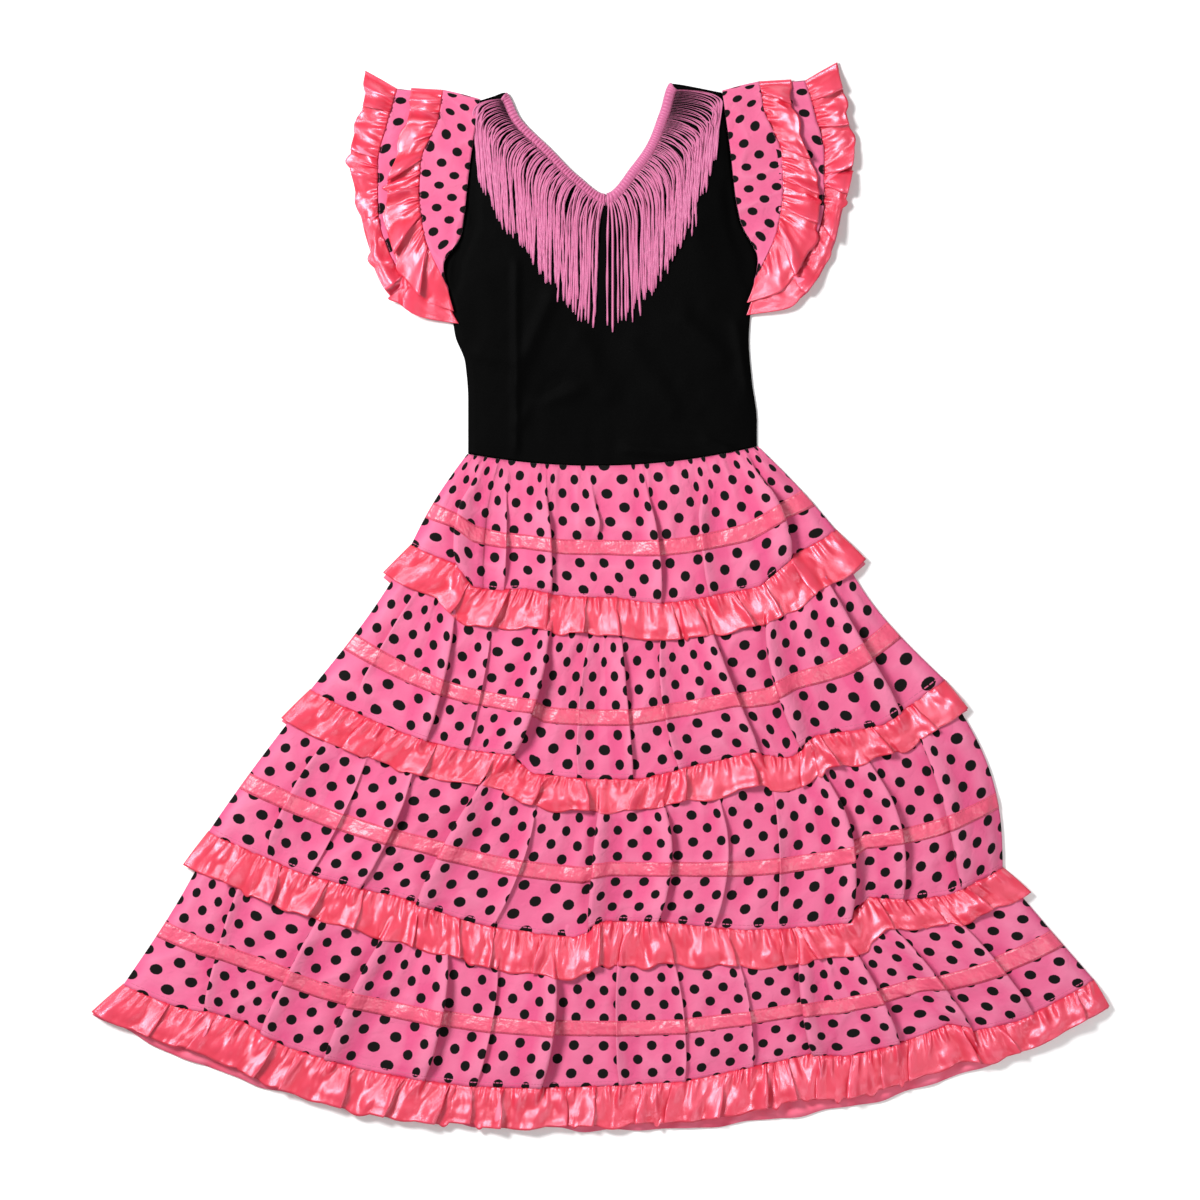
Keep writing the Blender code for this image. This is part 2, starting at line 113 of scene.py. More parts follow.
TIERS = table(
    "number top bottom bulge_left bulge_right tiles",
    (1, "waist", "seam_1", -3.0, 2.0, 11),
    (2, "seam_1", "seam_2", 6.0, -14.0, 14),
    (3, "seam_2", "seam_3", 0.0, 14.0, 18),
    (4, "seam_3", "seam_4", 6.0, -3.0, 24),
)

# Knife folds: the shares of the tier's width where each crest runs at its top and bottom, how high it
# stands, how far it laps over, which way it laps, and the stretch down the tier where it shows
FOLDS = {
    1: table(
        "top bottom rise lap lean start end",
        (0.06, 0.12, 6.0, 8.0, -1, 0.0, 1.0),
        (0.16, 0.22, 2.5, 2.5, 1, 0.1, 1.0),
        (0.28, 0.325, 4.5, 5.0, 1, 0.0, 1.0),
        (0.43, 0.47, 3.0, 3.0, 1, 0.0, 0.5),
        (0.61, 0.586, 4.0, 4.0, 1, 0.0, 1.0),
        (0.77, 0.708, 4.5, 5.0, -1, 0.35, 1.0),
        (0.94, 0.88, 7.0, 9.0, 1, 0.0, 1.0),
    ),
    2: table(
        "top bottom rise lap lean start end",
        (0.04, 0.06, 3.0, 2.5, -1, 0.1, 0.9),
        (0.115, 0.178, 5.5, 6.5, 1, 0.0, 1.0),
        (0.21, 0.25, 2.0, 1.5, 1, 0.0, 1.0),
        (0.34, 0.31, 7.5, 10.0, 1, 0.0, 1.0),
        (0.43, 0.42, 2.5, 2.0, -1, 0.1, 1.0),
        (0.50, 0.507, 4.0, 4.0, 1, 0.0, 1.0),
        (0.59, 0.583, 4.0, 4.0, -1, 0.0, 1.0),
        (0.69, 0.70, 6.0, 8.0, 1, 0.0, 1.0),
        (0.84, 0.78, 6.5, 8.0, -1, 0.0, 1.0),
        (0.955, 0.92, 7.0, 9.0, 1, 0.0, 1.0),
    ),
    3: table(
        "top bottom rise lap lean start end",
        (0.05, 0.07, 4.0, 4.0, -1, 0.1, 0.95),
        (0.115, 0.13, 2.0, 1.5, 1, 0.0, 1.0),
        (0.18, 0.19, 4.0, 4.0, 1, 0.1, 1.0),
        (0.288, 0.27, 7.0, 9.0, -1, 0.0, 1.0),
        (0.37, 0.36, 2.5, 2.0, 1, 0.1, 1.0),
        (0.454, 0.485, 6.5, 8.0, -1, 0.0, 1.0),
        (0.545, 0.56, 6.0, 7.0, 1, 0.0, 1.0),
        (0.635, 0.636, 4.0, 3.5, 1, 0.0, 1.0),
        (0.71, 0.715, 2.5, 2.0, -1, 0.1, 1.0),
        (0.783, 0.80, 7.0, 9.0, 1, 0.0, 1.0),
        (0.85, 0.87, 5.5, 6.0, 1, 0.0, 1.0),
        (0.935, 0.955, 7.0, 9.0, -1, 0.0, 1.0),
    ),
    4: table(
        "top bottom rise lap lean start end",
        (0.04, 0.085, 4.0, 4.0, -1, 0.1, 1.0),
        (0.155, 0.145, 5.0, 6.0, -1, 0.1, 1.0),
        (0.24, 0.214, 7.0, 9.0, -1, 0.0, 1.0),
        (0.30, 0.305, 6.0, 8.0, 1, 0.0, 1.0),
        (0.37, 0.365, 2.5, 2.0, 1, 0.1, 1.0),
        (0.432, 0.424, 7.0, 9.0, 1, 0.0, 1.0),
        (0.51, 0.51, 3.0, 2.0, -1, 0.1, 1.0),
        (0.585, 0.58, 3.0, 2.0, 1, 0.1, 1.0),
        (0.665, 0.65, 3.0, 2.0, 1, 0.1, 1.0),
        (0.745, 0.715, 6.5, 8.0, -1, 0.0, 1.0),
        (0.79, 0.795, 6.0, 7.0, 1, 0.0, 1.0),
        (0.845, 0.87, 5.5, 6.0, 1, 0.1, 1.0),
        (0.915, 0.935, 5.0, 5.0, 1, 0.1, 1.0),
    ),
}
CLIMB = 15.0
LAND = 3.0
DEEPER = 1.95
FLAT_STEP = 2.6
SIDE_SEAM = 2.6
HEM_STITCH = 0.974

# Ruffles: their length from seam to edge, and what every petal has
RUFFLE_LONG = 30.0
RUFFLE_STEP = 1.8
PETAL = {"climb": 9.0, "start": 0.0, "end": 1.0}
PUCKER_PITCH = 5.6
PUCKER_REACH = 16.0

# How far each tier's seam lies above its arc or below it, where the skirt is pulled up or hangs down
DIPS = {
    1: table(
        "share dip",
        (0.0, 0.0), (0.05, 5.0), (0.115, 10.0), (0.15, -3.0), (0.27, 6.5), (0.37, 3.0), (0.48, 2.0),
        (0.575, -4.5), (0.60, -4.0), (0.74, -3.0), (0.82, -6.0), (0.90, 6.0), (1.0, 0.0),
    ),
    2: table(
        "share dip",
        (0.0, 0.0), (0.07, 2.0), (0.20, 2.0), (0.32, 8.0), (0.35, -5.0), (0.52, -5.6), (0.61, 2.5),
        (0.69, 5.4), (0.755, -6.4), (0.80, 5.0), (0.90, -8.0), (0.96, -3.0), (1.0, 0.0),
    ),
    3: table(
        "share dip",
        (0.0, 0.0), (0.115, -2.5), (0.24, 2.0), (0.34, -6.0), (0.46, -7.5), (0.50, 7.5), (0.57, 8.0),
        (0.67, -2.0), (0.80, -8.5), (0.83, 8.0), (0.875, -1.5), (0.93, -7.0), (1.0, 0.0),
    ),
    4: table(
        "share dip",
        (0.0, 0.0), (0.06, 3.0), (0.095, 10.0), (0.125, 11.0), (0.17, 2.0), (0.25, -1.3), (0.35, -3.4),
        (0.51, 0.7), (0.58, 3.0), (0.64, 10.0), (0.71, 15.0), (0.745, 8.0), (0.80, 9.0), (0.85, 13.0),
        (0.875, 1.0), (0.92, -4.0), (1.0, 0.0),
    ),
}

# The section across a knife fold: its climb, the lap over its crest, and the cloth coming back under it
SECTION = table(
    "climb lap height cloth",
    (-1.0, 0.0, 0.30, 0.0), (-0.72, 0.0, 0.36, 0.11), (-0.45, 0.0, 0.47, 0.21), (-0.2, 0.0, 0.62, 0.31),
    (0.0, 0.0, 0.80, 0.39), (0.0, 0.5, 0.95, 0.48), (0.0, 0.85, 1.0, 0.53), (0.0, 1.0, 0.90, 0.56),
    (0.0, 1.02, 0.74, 0.59), (0.0, 0.85, 0.60, 0.62), (0.0, 0.5, 0.48, 0.67), (0.0, 0.15, 0.36, 0.73),
    (0.0, 0.0, 0.24, 0.77), (0.0, 0.15, 0.12, 0.81), (0.0, 0.5, 0.04, 0.87), (0.0, 1.0, 0.0, 1.0),
)
FOOT = SECTION[0]["height"]

# How far the folds stand up down a tier, and the height of its cloth where it lies flat
SWELL = table(
    "down share",
    (0.0, 0.0), (0.12, 0.15), (0.25, 0.4), (0.45, 0.9), (0.6, 1.0), (0.85, 0.85), (1.0, 0.5),
)
BACK_LEVEL = table("down z", (0.0, BACK_OVER), (0.69, BACK_OVER), (0.92, BACK_LOW), (1.0, BACK_LOW))
BACK_LEVEL_FIRST = table(
    "down z", (0.0, BACK_LOW), (0.4, BACK_LOW), (0.58, BACK_OVER), (0.69, BACK_OVER),
    (0.92, BACK_LOW), (1.0, BACK_LOW),
)
FRONT_LEVEL = table("down z", (0.0, FRONT_LOW), (0.69, FRONT_LOW), (0.92, FRONT_OVER), (1.0, FRONT_OVER))
FRONT_LEVEL_FIRST = table(
    "down z", (0.0, BODICE_FRONT_LOW), (0.22, FRONT_LOW), (0.69, FRONT_LOW),
    (0.92, FRONT_OVER), (1.0, FRONT_OVER),
)
RIBBON_MIDDLE = {1: 0.615, 2: 0.68, 3: 0.655, 4: 0.65}

BODICE_LEFT = table(
    "y x",
    (395.9, -94.0), (345.2, -101.8), (310.1, -105.7), (290.6, -108.8), (264.8, -122.9),
    (239.9, -117.4), (212.6, -113.5), (191.5, -105.7), (161.9, -103.4), (120.5, -103.4),
)
BODICE_RIGHT = table(
    "y x",
    (402.1, 94.8), (356.9, 101.0), (321.8, 104.9), (302.3, 108.8), (269.5, 122.9),
    (239.9, 119.0), (224.3, 116.6), (208.7, 115.8), (177.5, 118.2), (146.3, 122.1), (126.3, 122.1),
)
BODICE_TOP = table(
    "share x y",
    (0.0, -94.0, 395.9), (0.06, -84.0, 399.0), (0.12, -74.5, 402.1), (0.20, -62.8, 381.8),
    (0.30, -39.4, 358.4), (0.40, -18.3, 337.4), (0.50, 4.3, 322.5), (0.60, 24.6, 343.5),
    (0.70, 38.0, 363.1), (0.80, 47.0, 386.5), (0.88, 55.8, 409.0), (1.0, 94.8, 402.1),
)

# Creases of the bodice front: soft ridges, or troughs where the height is below nothing
BODICE_CREASES = table(
    "x1 y1 x2 y2 width height",
    (-100.0, 333.0, -98.0, 300.0, 4.0, -1.2), (-98.0, 300.0, -110.0, 272.0, 4.0, -1.4),
    (-110.0, 272.0, -114.0, 246.0, 4.0, -1.0), (100.0, 333.0, 102.0, 300.0, 4.0, -1.2),
    (102.0, 300.0, 113.0, 275.0, 4.0, -1.4), (113.0, 275.0, 116.0, 250.0, 4.0, -1.0),
    (-66.0, 270.0, -66.0, 120.0, 3.0, 1.4), (-36.0, 248.0, -62.0, 190.0, 6.0, 1.5),
    (-62.0, 190.0, -66.0, 168.0, 5.0, 1.2), (-12.0, 172.0, -54.0, 158.0, 6.0, 1.2),
    (-54.0, 158.0, -66.0, 140.0, 5.0, 1.0), (-30.0, 180.0, -58.0, 150.0, 6.0, -1.0),
    (16.0, 124.0, 110.0, 118.0, 5.0, 1.3), (78.0, 132.0, 105.0, 122.0, 4.0, 1.1),
    (105.0, 224.0, 116.0, 170.0, 5.0, 1.2), (-100.0, 200.0, -60.0, 190.0, 7.0, 0.9),
    (20.0, 210.0, 60.0, 150.0, 9.0, 0.9), (60.0, 230.0, 100.0, 190.0, 8.0, 0.9),
    (-20.0, 220.0, 10.0, 160.0, 9.0, 0.8),
)
BODICE_HALVES = table(
    "name low columns rows facing",
    ("back", 0.1, 60, 70, -1),
    ("front", BODICE_FRONT_LOW, 140, 170, 1),
)
BODICE_WIDE = 226.0
BODICE_LONG = 275.0

BRAID_WIDTH = 7.0
BRAID_LONG = 116.0
BRAID_RIBS = 48
BRAID_COLUMNS = 400
STRAND_SIDES = 6
STRAND_STEPS = 26
STRAND_SEEDS = {"left": 7, "right": 9}
NECK_SIDES = table(
    "side start end out_shoulder out_centre back_shoulder back_centre drop_shoulder drop_centre loose",
    ("left", 0.125, 0.497, -22.0, -6.0, 8.0, -3.0, 62.0, 94.0, 0),
    ("right", 0.875, 0.503, 38.0, 6.0, -8.0, 3.0, 50.0, 98.0, 3),
)

SLEEVE_LINES = {
    "upper_seam": table(
        "share x y",
        (0.0, -122.9, 402.0), (0.2, -126.0, 382.0), (0.4, -140.0, 347.0), (0.6, -141.0, 320.0),
        (0.8, -137.0, 290.0), (1.0, -119.5, 250.0),
    ),
    "upper_edge": table(
        "share x y",
        (0.0, -147.8, 403.5), (0.2, -152.0, 376.0), (0.4, -167.0, 334.0), (0.6, -171.0, 308.0),
        (0.8, -157.0, 262.0), (0.92, -138.0, 240.0), (1.0, -115.0, 231.0),
    ),
    "lower_seam": table(
        "share x y",
        (0.0, -158.7, 404.0), (0.2, -166.0, 378.0), (0.4, -173.5, 345.0), (0.6, -173.0, 308.0),
        (0.8, -157.5, 264.0), (1.0, -117.5, 236.0),
    ),
    "lower_edge": table(
        "share x y",
        (0.0, -183.7, 417.7), (0.2, -191.0, 381.0), (0.4, -197.0, 350.0), (0.6, -190.0, 308.0),
        (0.8, -171.0, 252.0), (0.92, -144.0, 227.0), (1.0, -113.4, 221.5),
    ),
}
ARMHOLE_TOP = 395.5
ARMHOLE_BOTTOM = 264.8
SLEEVE_PIECES = table(
    "name inner outer tiles bold back_low front_low fold_inset wide",
    ("upper_tier", "armhole", "upper_seam", 0, 1.0, BACK_LOW, FRONT_OVER, 0.0, 28.0),
    ("lower_tier", "upper_seam", "lower_seam", 0, 1.0, BACK_OVER, FRONT_LOW, 2.2, 36.0),
    ("lower_ruffle", "lower_seam", "lower_edge", 7, 1.0, BACK_OVER, FRONT_LOW, 0.0, 28.0),
    ("upper_ruffle", "upper_seam", "upper_edge", 6, 1.4, BACK_LOW, FRONT_OVER, 0.0, 28.0),
)
MIRROR_SHIFT = (1.2, 6.6)
SLEEVE_TUCK = 5.0
SLEEVE_LONG = 175.0
SLEEVE_SEEDS = {"left": 300, "right": 400}
SLEEVE_BACK = 20
SLEEVE_TURN = 6
SLEEVE_FRONT = 90

LIGHTS = table(
    "name place aim size power",
    ("key", (-0.96, 0.675, 1.5), (0.0, -0.12, 0.0), 0.55, 45.0),
    ("fill", (0.7, -0.6, 1.2), (0.1, -0.35, 0.0), 0.8, 6.5),
)
SKY = 0.33


# Plain arithmetic on arrays

def between(low, high, share):
    return low + (high - low) * share


def read(rows, key, at, column):
    """A table's column at places along its key column, rounded off between the rows."""
    ordered = rows[::-1] if rows[0][key] > rows[-1][key] else rows
    places = np.array([row[key] for row in ordered])
    values = np.array([row[column] for row in ordered])
    steps = np.diff(values) / np.diff(places)
    slopes = np.zeros(len(values))
    both = steps[1:] * steps[:-1]
    slopes[1:-1] = np.where(both > 0, 2 * both / (steps[1:] + steps[:-1] + 1e-12), 0)
    slopes[0], slopes[-1] = steps[0], steps[-1]
    at = np.clip(at, places[0], places[-1])
    low = np.clip(np.searchsorted(places, at) - 1, 0, len(places) - 2)
    gap = places[low + 1] - places[low]
    t = (at - places[low]) / gap
    start = (1 + 2 * t) * (1 - t) ** 2 * values[low] + t * (1 - t) ** 2 * gap * slopes[low]
    end = t * t * (3 - 2 * t) * values[low + 1] + t * t * (t - 1) * gap * slopes[low + 1]
    return start + end


def ease(x, low, high):
    """0 below low, 1 above high, and a soft step between them."""
    t = np.clip((x - low) / (high - low), 0.0, 1.0)
    return t * t * (3 - 2 * t)


def rumple(x, y, size_x, size_y, seed):
    """Soft uneven hills from -1 to 1, one about every size, the same for the same seed."""
    chart = np.random.default_rng(seed).uniform(-1, 1, (64, 64))
    px, py = x / size_x + 31.7, y / size_y + 17.3
    ix, iy = np.floor(px).astype(int), np.floor(py).astype(int)
    tx, ty = px - ix, py - iy
    tx, ty = tx * tx * (3 - 2 * tx), ty * ty * (3 - 2 * ty)
    low = between(chart[ix % 64, iy % 64], chart[(ix + 1) % 64, iy % 64], tx)
    high = between(chart[ix % 64, (iy + 1) % 64], chart[(ix + 1) % 64, (iy + 1) % 64], tx)
    return between(low, high, ty)


def hills(x, y, size_x, size_y, seed):
    """The same hills, from 0 to 2."""
    return 1 + rumple(x, y, size_x, size_y, seed)


def creases(x, y, size_x, size_y, seed):
    """Narrow ridges from 0 to 1 between the hills."""
    return (1 - np.abs(rumple(x, y, size_x, size_y, seed))) ** 5


def width_of(name):
    return LINE[name]["x_right"] - LINE[name]["x_left"]


def on_line(name, share):
    """A point on a seam or a free edge of the skirt."""
    line = LINE[name]
    bow = 1 - np.abs(2 * share - 1) ** line["roundness"]
    x = between(line["x_left"], line["x_right"], share)
    y = between(line["y_left"], line["y_right"], share) - line["sag"] * bow
    return x, y


# Making a piece

def to_scene(x, y, z):
    return ((np.stack((x, y, z), axis=-1) - MIDDLE) * MM).astype(np.float32)


def hollows(z, column, row):
    """How deep each vertex lies in the cloth round it, from 1 in a hollow to -1 on a crest. The materials
    paint shade into the colour in the hollows and light onto the crests by it.
    """
    mean = np.zeros((column.max() + 1, row.max() + 1))
    mean[column, row] = z
    for axis in (0, 1):
        margin = [(HOLLOW_REACH, HOLLOW_REACH) if way == axis else (0, 0) for way in (0, 1)]
        wider = np.pad(mean, margin, mode="edge")
        mean = np.lib.stride_tricks.sliding_window_view(wider, 2 * HOLLOW_REACH + 1, axis=axis).mean(axis=-1)
    return np.clip((mean[column, row] - z) / HOLLOW_DEPTH, -1.0, 1.0)


def plain_flat(columns, rows, wide, long):
    """Each vertex's spot on a plain rectangle of cloth."""
    return lambda column, row: (column / columns * wide, -row / rows * long)


def pleated_flat(cloth, rows, long):
    """Each vertex's spot on flat cloth, its folds let out. long is one length, or one for each column."""
    lengths = np.broadcast_to(long, cloth.count)
    return lambda column, row: (cloth.along[column], -row / rows * lengths[column])


def grid_piece(name, columns, rows, place, flat, facing=1):
    """A cloth piece from a grid. place gives each vertex's spot, and flat its spot on the flat cloth."""
    bm = bmesh.new()
    bmesh.ops.create_grid(bm, x_segments=columns, y_segments=rows, size=0.5)
    if facing < 0:
        bmesh.ops.reverse_faces(bm, faces=bm.faces[:])
    mesh = bpy.data.meshes.new(name)
    bm.to_mesh(mesh)
    bm.free()
    spots = np.empty(len(mesh.vertices) * 3, dtype=np.float32)
    mesh.vertices.foreach_get("co", spots)
    spots = spots.reshape(-1, 3)
    column = np.rint((spots[:, 0] + 0.5) * columns).astype(int)
    row = np.rint((0.5 - spots[:, 1]) * rows).astype(int)
    x, y, z = place(column, row)
    mesh.vertices.foreach_set("co", to_scene(x, y, z).ravel())
    corner = np.empty(len(mesh.loops), dtype=np.int32)
    mesh.loops.foreach_get("vertex_index", corner)
    across, down = flat(column, row)
    chart = mesh.uv_layers.new(name="cloth")
    spread = np.stack((across[corner], down[corner]), axis=-1) * MM
    chart.data.foreach_set("uv", spread.astype(np.float32).ravel())
    # The hollow attribute carries where the materials paint shade in the hollows and light on the crests.
    for label, values in (("down", row / rows), ("hollow", hollows(z, column, row))):
        way = mesh.attributes.new(label, "FLOAT", "POINT")
        way.data.foreach_set("value", values.astype(np.float32))
    mesh.update()
    mesh.shade_smooth()
    piece = bpy.data.objects.new(name, mesh)
    bpy.context.scene.collection.objects.link(piece)
    return piece


def finish_piece(piece, nodes, materials, thick=SHELL):
    """Gives a piece its wall, its materials and its place in the frame."""
    for material in materials:
        piece.data.materials.append(material)
    if thick:
        wall = piece.modifiers.new("wall", "SOLIDIFY")
        wall.thickness = thick * MM
        wall.offset = -1.0
        wall.use_rim = True
        if len(materials) > 1:
            wall.material_offset = 1
            wall.material_offset_rim = 0
    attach(piece, BODY)
    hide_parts(*nodes)


def surface_tree(piece):
    """The piece's own surface, to lay the next piece on."""
    bm = bmesh.new()
    bm.from_mesh(piece.data)
    tree = BVHTree.FromBMesh(bm)
    bm.free()
    return tree


def lay_over(pieces, x, y, z, clear):
    """Lifts points so that they lie at least the clearance above these pieces."""
    spots = to_scene(x, y, z)
    trees = [surface_tree(piece) for piece in pieces]
    down = Vector((0, 0, -1))
    lifted = z.copy()
    for index, spot in enumerate(spots):
        for tree in trees:
            hit = tree.ray_cast(Vector((spot[0], spot[1], 0.2)), down)[0]
            if hit is not None:
                lifted[index] = max(lifted[index], hit.z / MM + clear)
    return lifted


# Dotted tiers

def tier_place(tier, share, down):
    tucked = tier["number"] > 1
    inset = TUCK_INSET * (1 - down) if tucked else 0.0
    share_top = inset + (1 - 2 * inset) * share
    x_top, y_top = on_line(tier["top"], share_top)
    x_bottom, y_bottom = on_line(tier["bottom"], share)
    y_top = y_top + (TUCK if tucked else -GAP)
    bulge = between(tier["bulge_left"], tier["bulge_right"], share) * np.sin(math.pi * down)
    return between(x_top, x_bottom, down) + bulge, between(y_top, y_bottom, down)


class Pleats:
    """Cloth laid in knife folds. Its columns run down it, close together across each fold."""

    def __init__(self, wide, folds, step):
        self.wide, self.folds = wide, folds
        stops = [0.0] + [fold["bottom"] for fold in folds] + [1.0]
        columns = []
        for number in range(len(folds) + 1):
            count = max(4, int((stops[number + 1] - stops[number]) * wide / step))
            columns += [(0, number, part / count) for part in range(1 if number else 0, count)]
            if number < len(folds):
                across = range(len(SECTION))[::folds[number]["lean"]]
                columns += [(1, number, part) for part in across]
        columns.append((0, len(folds), 1.0))
        self.kind, self.number, self.part = (np.array(values) for values in zip(*columns))
        self.count = len(columns)
        run = 0.0
        for down in (0.4, 0.9):
            share, height = self.shares(np.arange(self.count), np.full(self.count, down), np.ones(self.count))
            run = run + np.hypot(np.diff(share) * wide, np.diff(height)) / 2
        self.along = np.concatenate(((0.0,), np.cumsum(run)))

    def shown(self, fold, down, opened):
        """How far a fold stands open at each way down the cloth."""
        start = ease(down, fold["start"] - 0.12, fold["start"] + 0.08) if fold["start"] > 0 else 1.0
        end = 1 - ease(down, fold["end"] - 0.1, fold["end"] + 0.1) if fold["end"] < 1 else 1.0
        return opened * start * end

    def side(self, number, way, down, opened):
        """The share and the height at which the flat cloth meets a fold, before it (-1) or after it (1)."""
        if number in (-1, len(self.folds)):
            return np.full(len(down), float(number >= 0)), np.zeros(len(down))
        fold = self.folds[number]
        climbing = way * fold["lean"] < 0
        reach = fold["climb"] if climbing else fold["lap"] + LAND
        foot = FOOT * fold["rise"] * self.shown(fold, down, opened) if climbing else np.zeros(len(down))
        return between(fold["top"], fold["bottom"], down) + way * reach / self.wide, foot

    def shares(self, column, down, opened):
        """Each vertex's share across the cloth, and its height, where opened says how far the folds open."""
        share, height = np.zeros(len(column)), np.zeros(len(column))
        kind, number, part = self.kind[column], self.number[column], self.part[column]
        for flat in range(len(self.folds) + 1):
            here = (kind == 0) & (number == flat)
            low, low_height = self.side(flat - 1, 1, down[here], opened[here])
            high, high_height = self.side(flat, -1, down[here], opened[here])
            share[here] = between(low, high, part[here])
            height[here] = between(low_height, high_height, part[here])
        climb, lap, tall, cloth = (np.array([row[key] for row in SECTION]) for key in SECTION[0])
        for index, fold in enumerate(self.folds):
            here = (kind == 1) & (number == index)
            step = part[here].astype(int)
            shown = self.shown(fold, down[here], opened[here])
            landed = np.where(step == len(SECTION) - 1, LAND, 0.0)
            folded = climb[step] * fold["climb"] + lap[step] * fold["lap"] + landed
            smooth = cloth[step] * (fold["climb"] + fold["lap"] + LAND) - fold["climb"]
            crest = between(fold["top"], fold["bottom"], down[here])
            share[here] = crest + fold["lean"] * between(smooth, folded, shown) / self.wide
            height[here] = fold["rise"] * tall[step] * shown
        return share, height


class TierCloth(Pleats):
    """The front of one dotted tier."""

    def __init__(self, tier):
        self.tier = tier
        folds = [dict(fold, climb=CLIMB, rise=fold["rise"] * DEEPER) for fold in FOLDS[tier["number"]]]
        super().__init__(width_of(tier["bottom"]) * 0.94, folds, FLAT_STEP)
        edge = np.arange(self.count)
        share, _ = self.shares(edge, np.full(self.count, 0.5), np.ones(self.count))
        x_top, y_top = tier_place(tier, share, np.zeros(self.count))
        x_bottom, y_bottom = tier_place(tier, share, np.ones(self.count))
        own = np.hypot(x_top - x_bottom, y_top - y_bottom)
        self.long = between(own.mean(), own, 0.7)
        smooth, _ = self.shares(edge, np.ones(self.count), np.zeros(self.count))
        dips = DIPS[tier["number"]]
        self.dip = np.interp(smooth, [row["share"] for row in dips], [row["dip"] for row in dips])

    def surface(self, column, down):
        """The tier's outer face."""
        number = self.tier["number"]
        swell = read(SWELL, "down", down, "share")
        share, height = self.shares(column, down, swell)
        x, y = tier_place(self.tier, share, down)
        y = y + self.dip[column] * down ** 2
        along = self.along[column]
        far = down * self.long[column]
        z = read(FRONT_LEVEL_FIRST if number == 1 else FRONT_LEVEL, "down", down, "z") + 0.6 + height
        z += hills(along, far, 38.0, 70.0, 10 + number) * 1.3 * swell
        z += hills(along + 0.25 * far, far, 13.0, 42.0, 20 + number) * 1.4 * (0.25 + 0.75 * swell)
        for slant, seed in ((0.7, 80), (-0.5, 90)):
            z += creases(along + slant * far, far, 31.0, 37.0, seed + number) * 0.9
        gathered = np.exp(-far / 34.0) * ease(far, -3.0, 9.0)
        z += hills(along, far, 5.2, 60.0, 30 + number) * 1.6 * gathered
        hem = np.exp(-(self.long[column] - far) / 9.0)
        z += hills(along, far, 4.4, 30.0, 40 + number) * 0.5 * hem
        z += rumple(along, far, 8.0, 13.0, 50 + number) * 0.34
        side = ease(np.minimum(share, 1 - share) * self.wide, -1.0, 9.0)
        return x, y, between(SIDE_SEAM, z, side)


def tier_down_length(tier, share):
    _, y_top = tier_place(tier, share, np.zeros_like(share))
    _, y_bottom = tier_place(tier, share, np.ones_like(share))
    return y_top - y_bottom


def make_tier_front(tier, looks):
    cloth = TierCloth(tier)
    number = tier["number"]
    columns = cloth.count - 1
    length = float(cloth.long.mean())
    rows = int(length / FLAT_STEP)

    def place(column, row):
        return cloth.surface(column, row / rows)

    flat = pleated_flat(cloth, rows, cloth.long)
    piece = grid_piece(f"tier_{number}_front_cloth", columns, rows, place, flat)
    finish_piece(piece, [f"skirt_tier_{number}_front"], [looks["cotton"]])
    return piece, cloth


def make_ribbon_front(tier, cloth, looks, width):
    number = tier["number"]
    columns, rows = cloth.count - 1, 6
    middle = RIBBON_MIDDLE[number]

    def place(column, row):
        share, _ = cloth.shares(column, np.full(len(column), middle), np.ones(len(column)))
        length = tier_down_length(tier, np.clip(share, 0, 1))
        down = middle + (row / rows - 0.5) * width / length
        x, y, z = cloth.surface(column, down)
        along = cloth.along[column]
        inside = np.sin(math.pi * row / rows) ** 0.5
        z += 0.5 + 0.32 * inside * hills(along, row * 2.0, 3.0, 4.0, 60 + number)
        return x, y, z

    flat = pleated_flat(cloth, rows, width)
    piece = grid_piece(f"ribbon_{number}_front_satin", columns, rows, place, flat)
    finish_piece(piece, [f"skirt_ribbon_{number}_front"], [looks["ribbon"]], thick=0.25)


def make_tier_back(tier, looks, width):
    number = tier["number"]
    levels = BACK_LEVEL_FIRST if number == 1 else BACK_LEVEL
    length = float(tier_down_length(tier, np.array(0.5)))
    wide = width_of(tier["bottom"])
    columns, rows, ribbon_rows = int(wide / 7), int(length / 6), 3

    def place(column, row):
        down = row / rows
        x, y = tier_place(tier, column / columns, down)
        return x, y, read(levels, "down", down, "z") + 0.15 * hills(x, y, 30.0, 60.0, 70 + number)

    flat = plain_flat(columns, rows, wide, length)
    back = grid_piece(f"tier_{number}_back_cloth", columns, rows, place, flat, facing=-1)
    finish_piece(back, [f"skirt_tier_{number}_back"], [looks["cotton"]])
    middle = RIBBON_MIDDLE[number]

    def ribbon_place(column, row):
        share = column / columns
        down = middle + (row / ribbon_rows - 0.5) * width / tier_down_length(tier, share)
        x, y = tier_place(tier, share, down)
        return x, y, np.full(len(x), 0.1)

    flat = plain_flat(columns, ribbon_rows, wide, width)
    ribbon = grid_piece(f"ribbon_{number}_back_satin", columns, ribbon_rows, ribbon_place, flat, facing=-1)
    finish_piece(ribbon, [f"skirt_ribbon_{number}_back"], [looks["ribbon"]], thick=0.25)


# Satin ruffles

def ruffle_folds(wide, tiles, seed, bold):
    """Uneven petals: where each one folds under the next, and how far."""
    random = np.random.default_rng(seed)
    sizes = random.uniform(0.6, 1.45, tiles)
    crests = (np.cumsum(sizes) / sizes.sum())[:-1]
    slants = random.uniform(-0.35, 0.35, tiles) * 20.0 / wide
    folds = []
    for crest, slant in zip(crests, slants):
        lean = 1 if random.uniform(0, 1) < 0.72 else -1
        lap, rise = random.uniform(2.0, 7.5) * bold, random.uniform(3.0, 6.5) * bold
        folds.append(dict(PETAL, top=crest - slant, bottom=crest, rise=rise, lap=lap, lean=lean))
    return folds


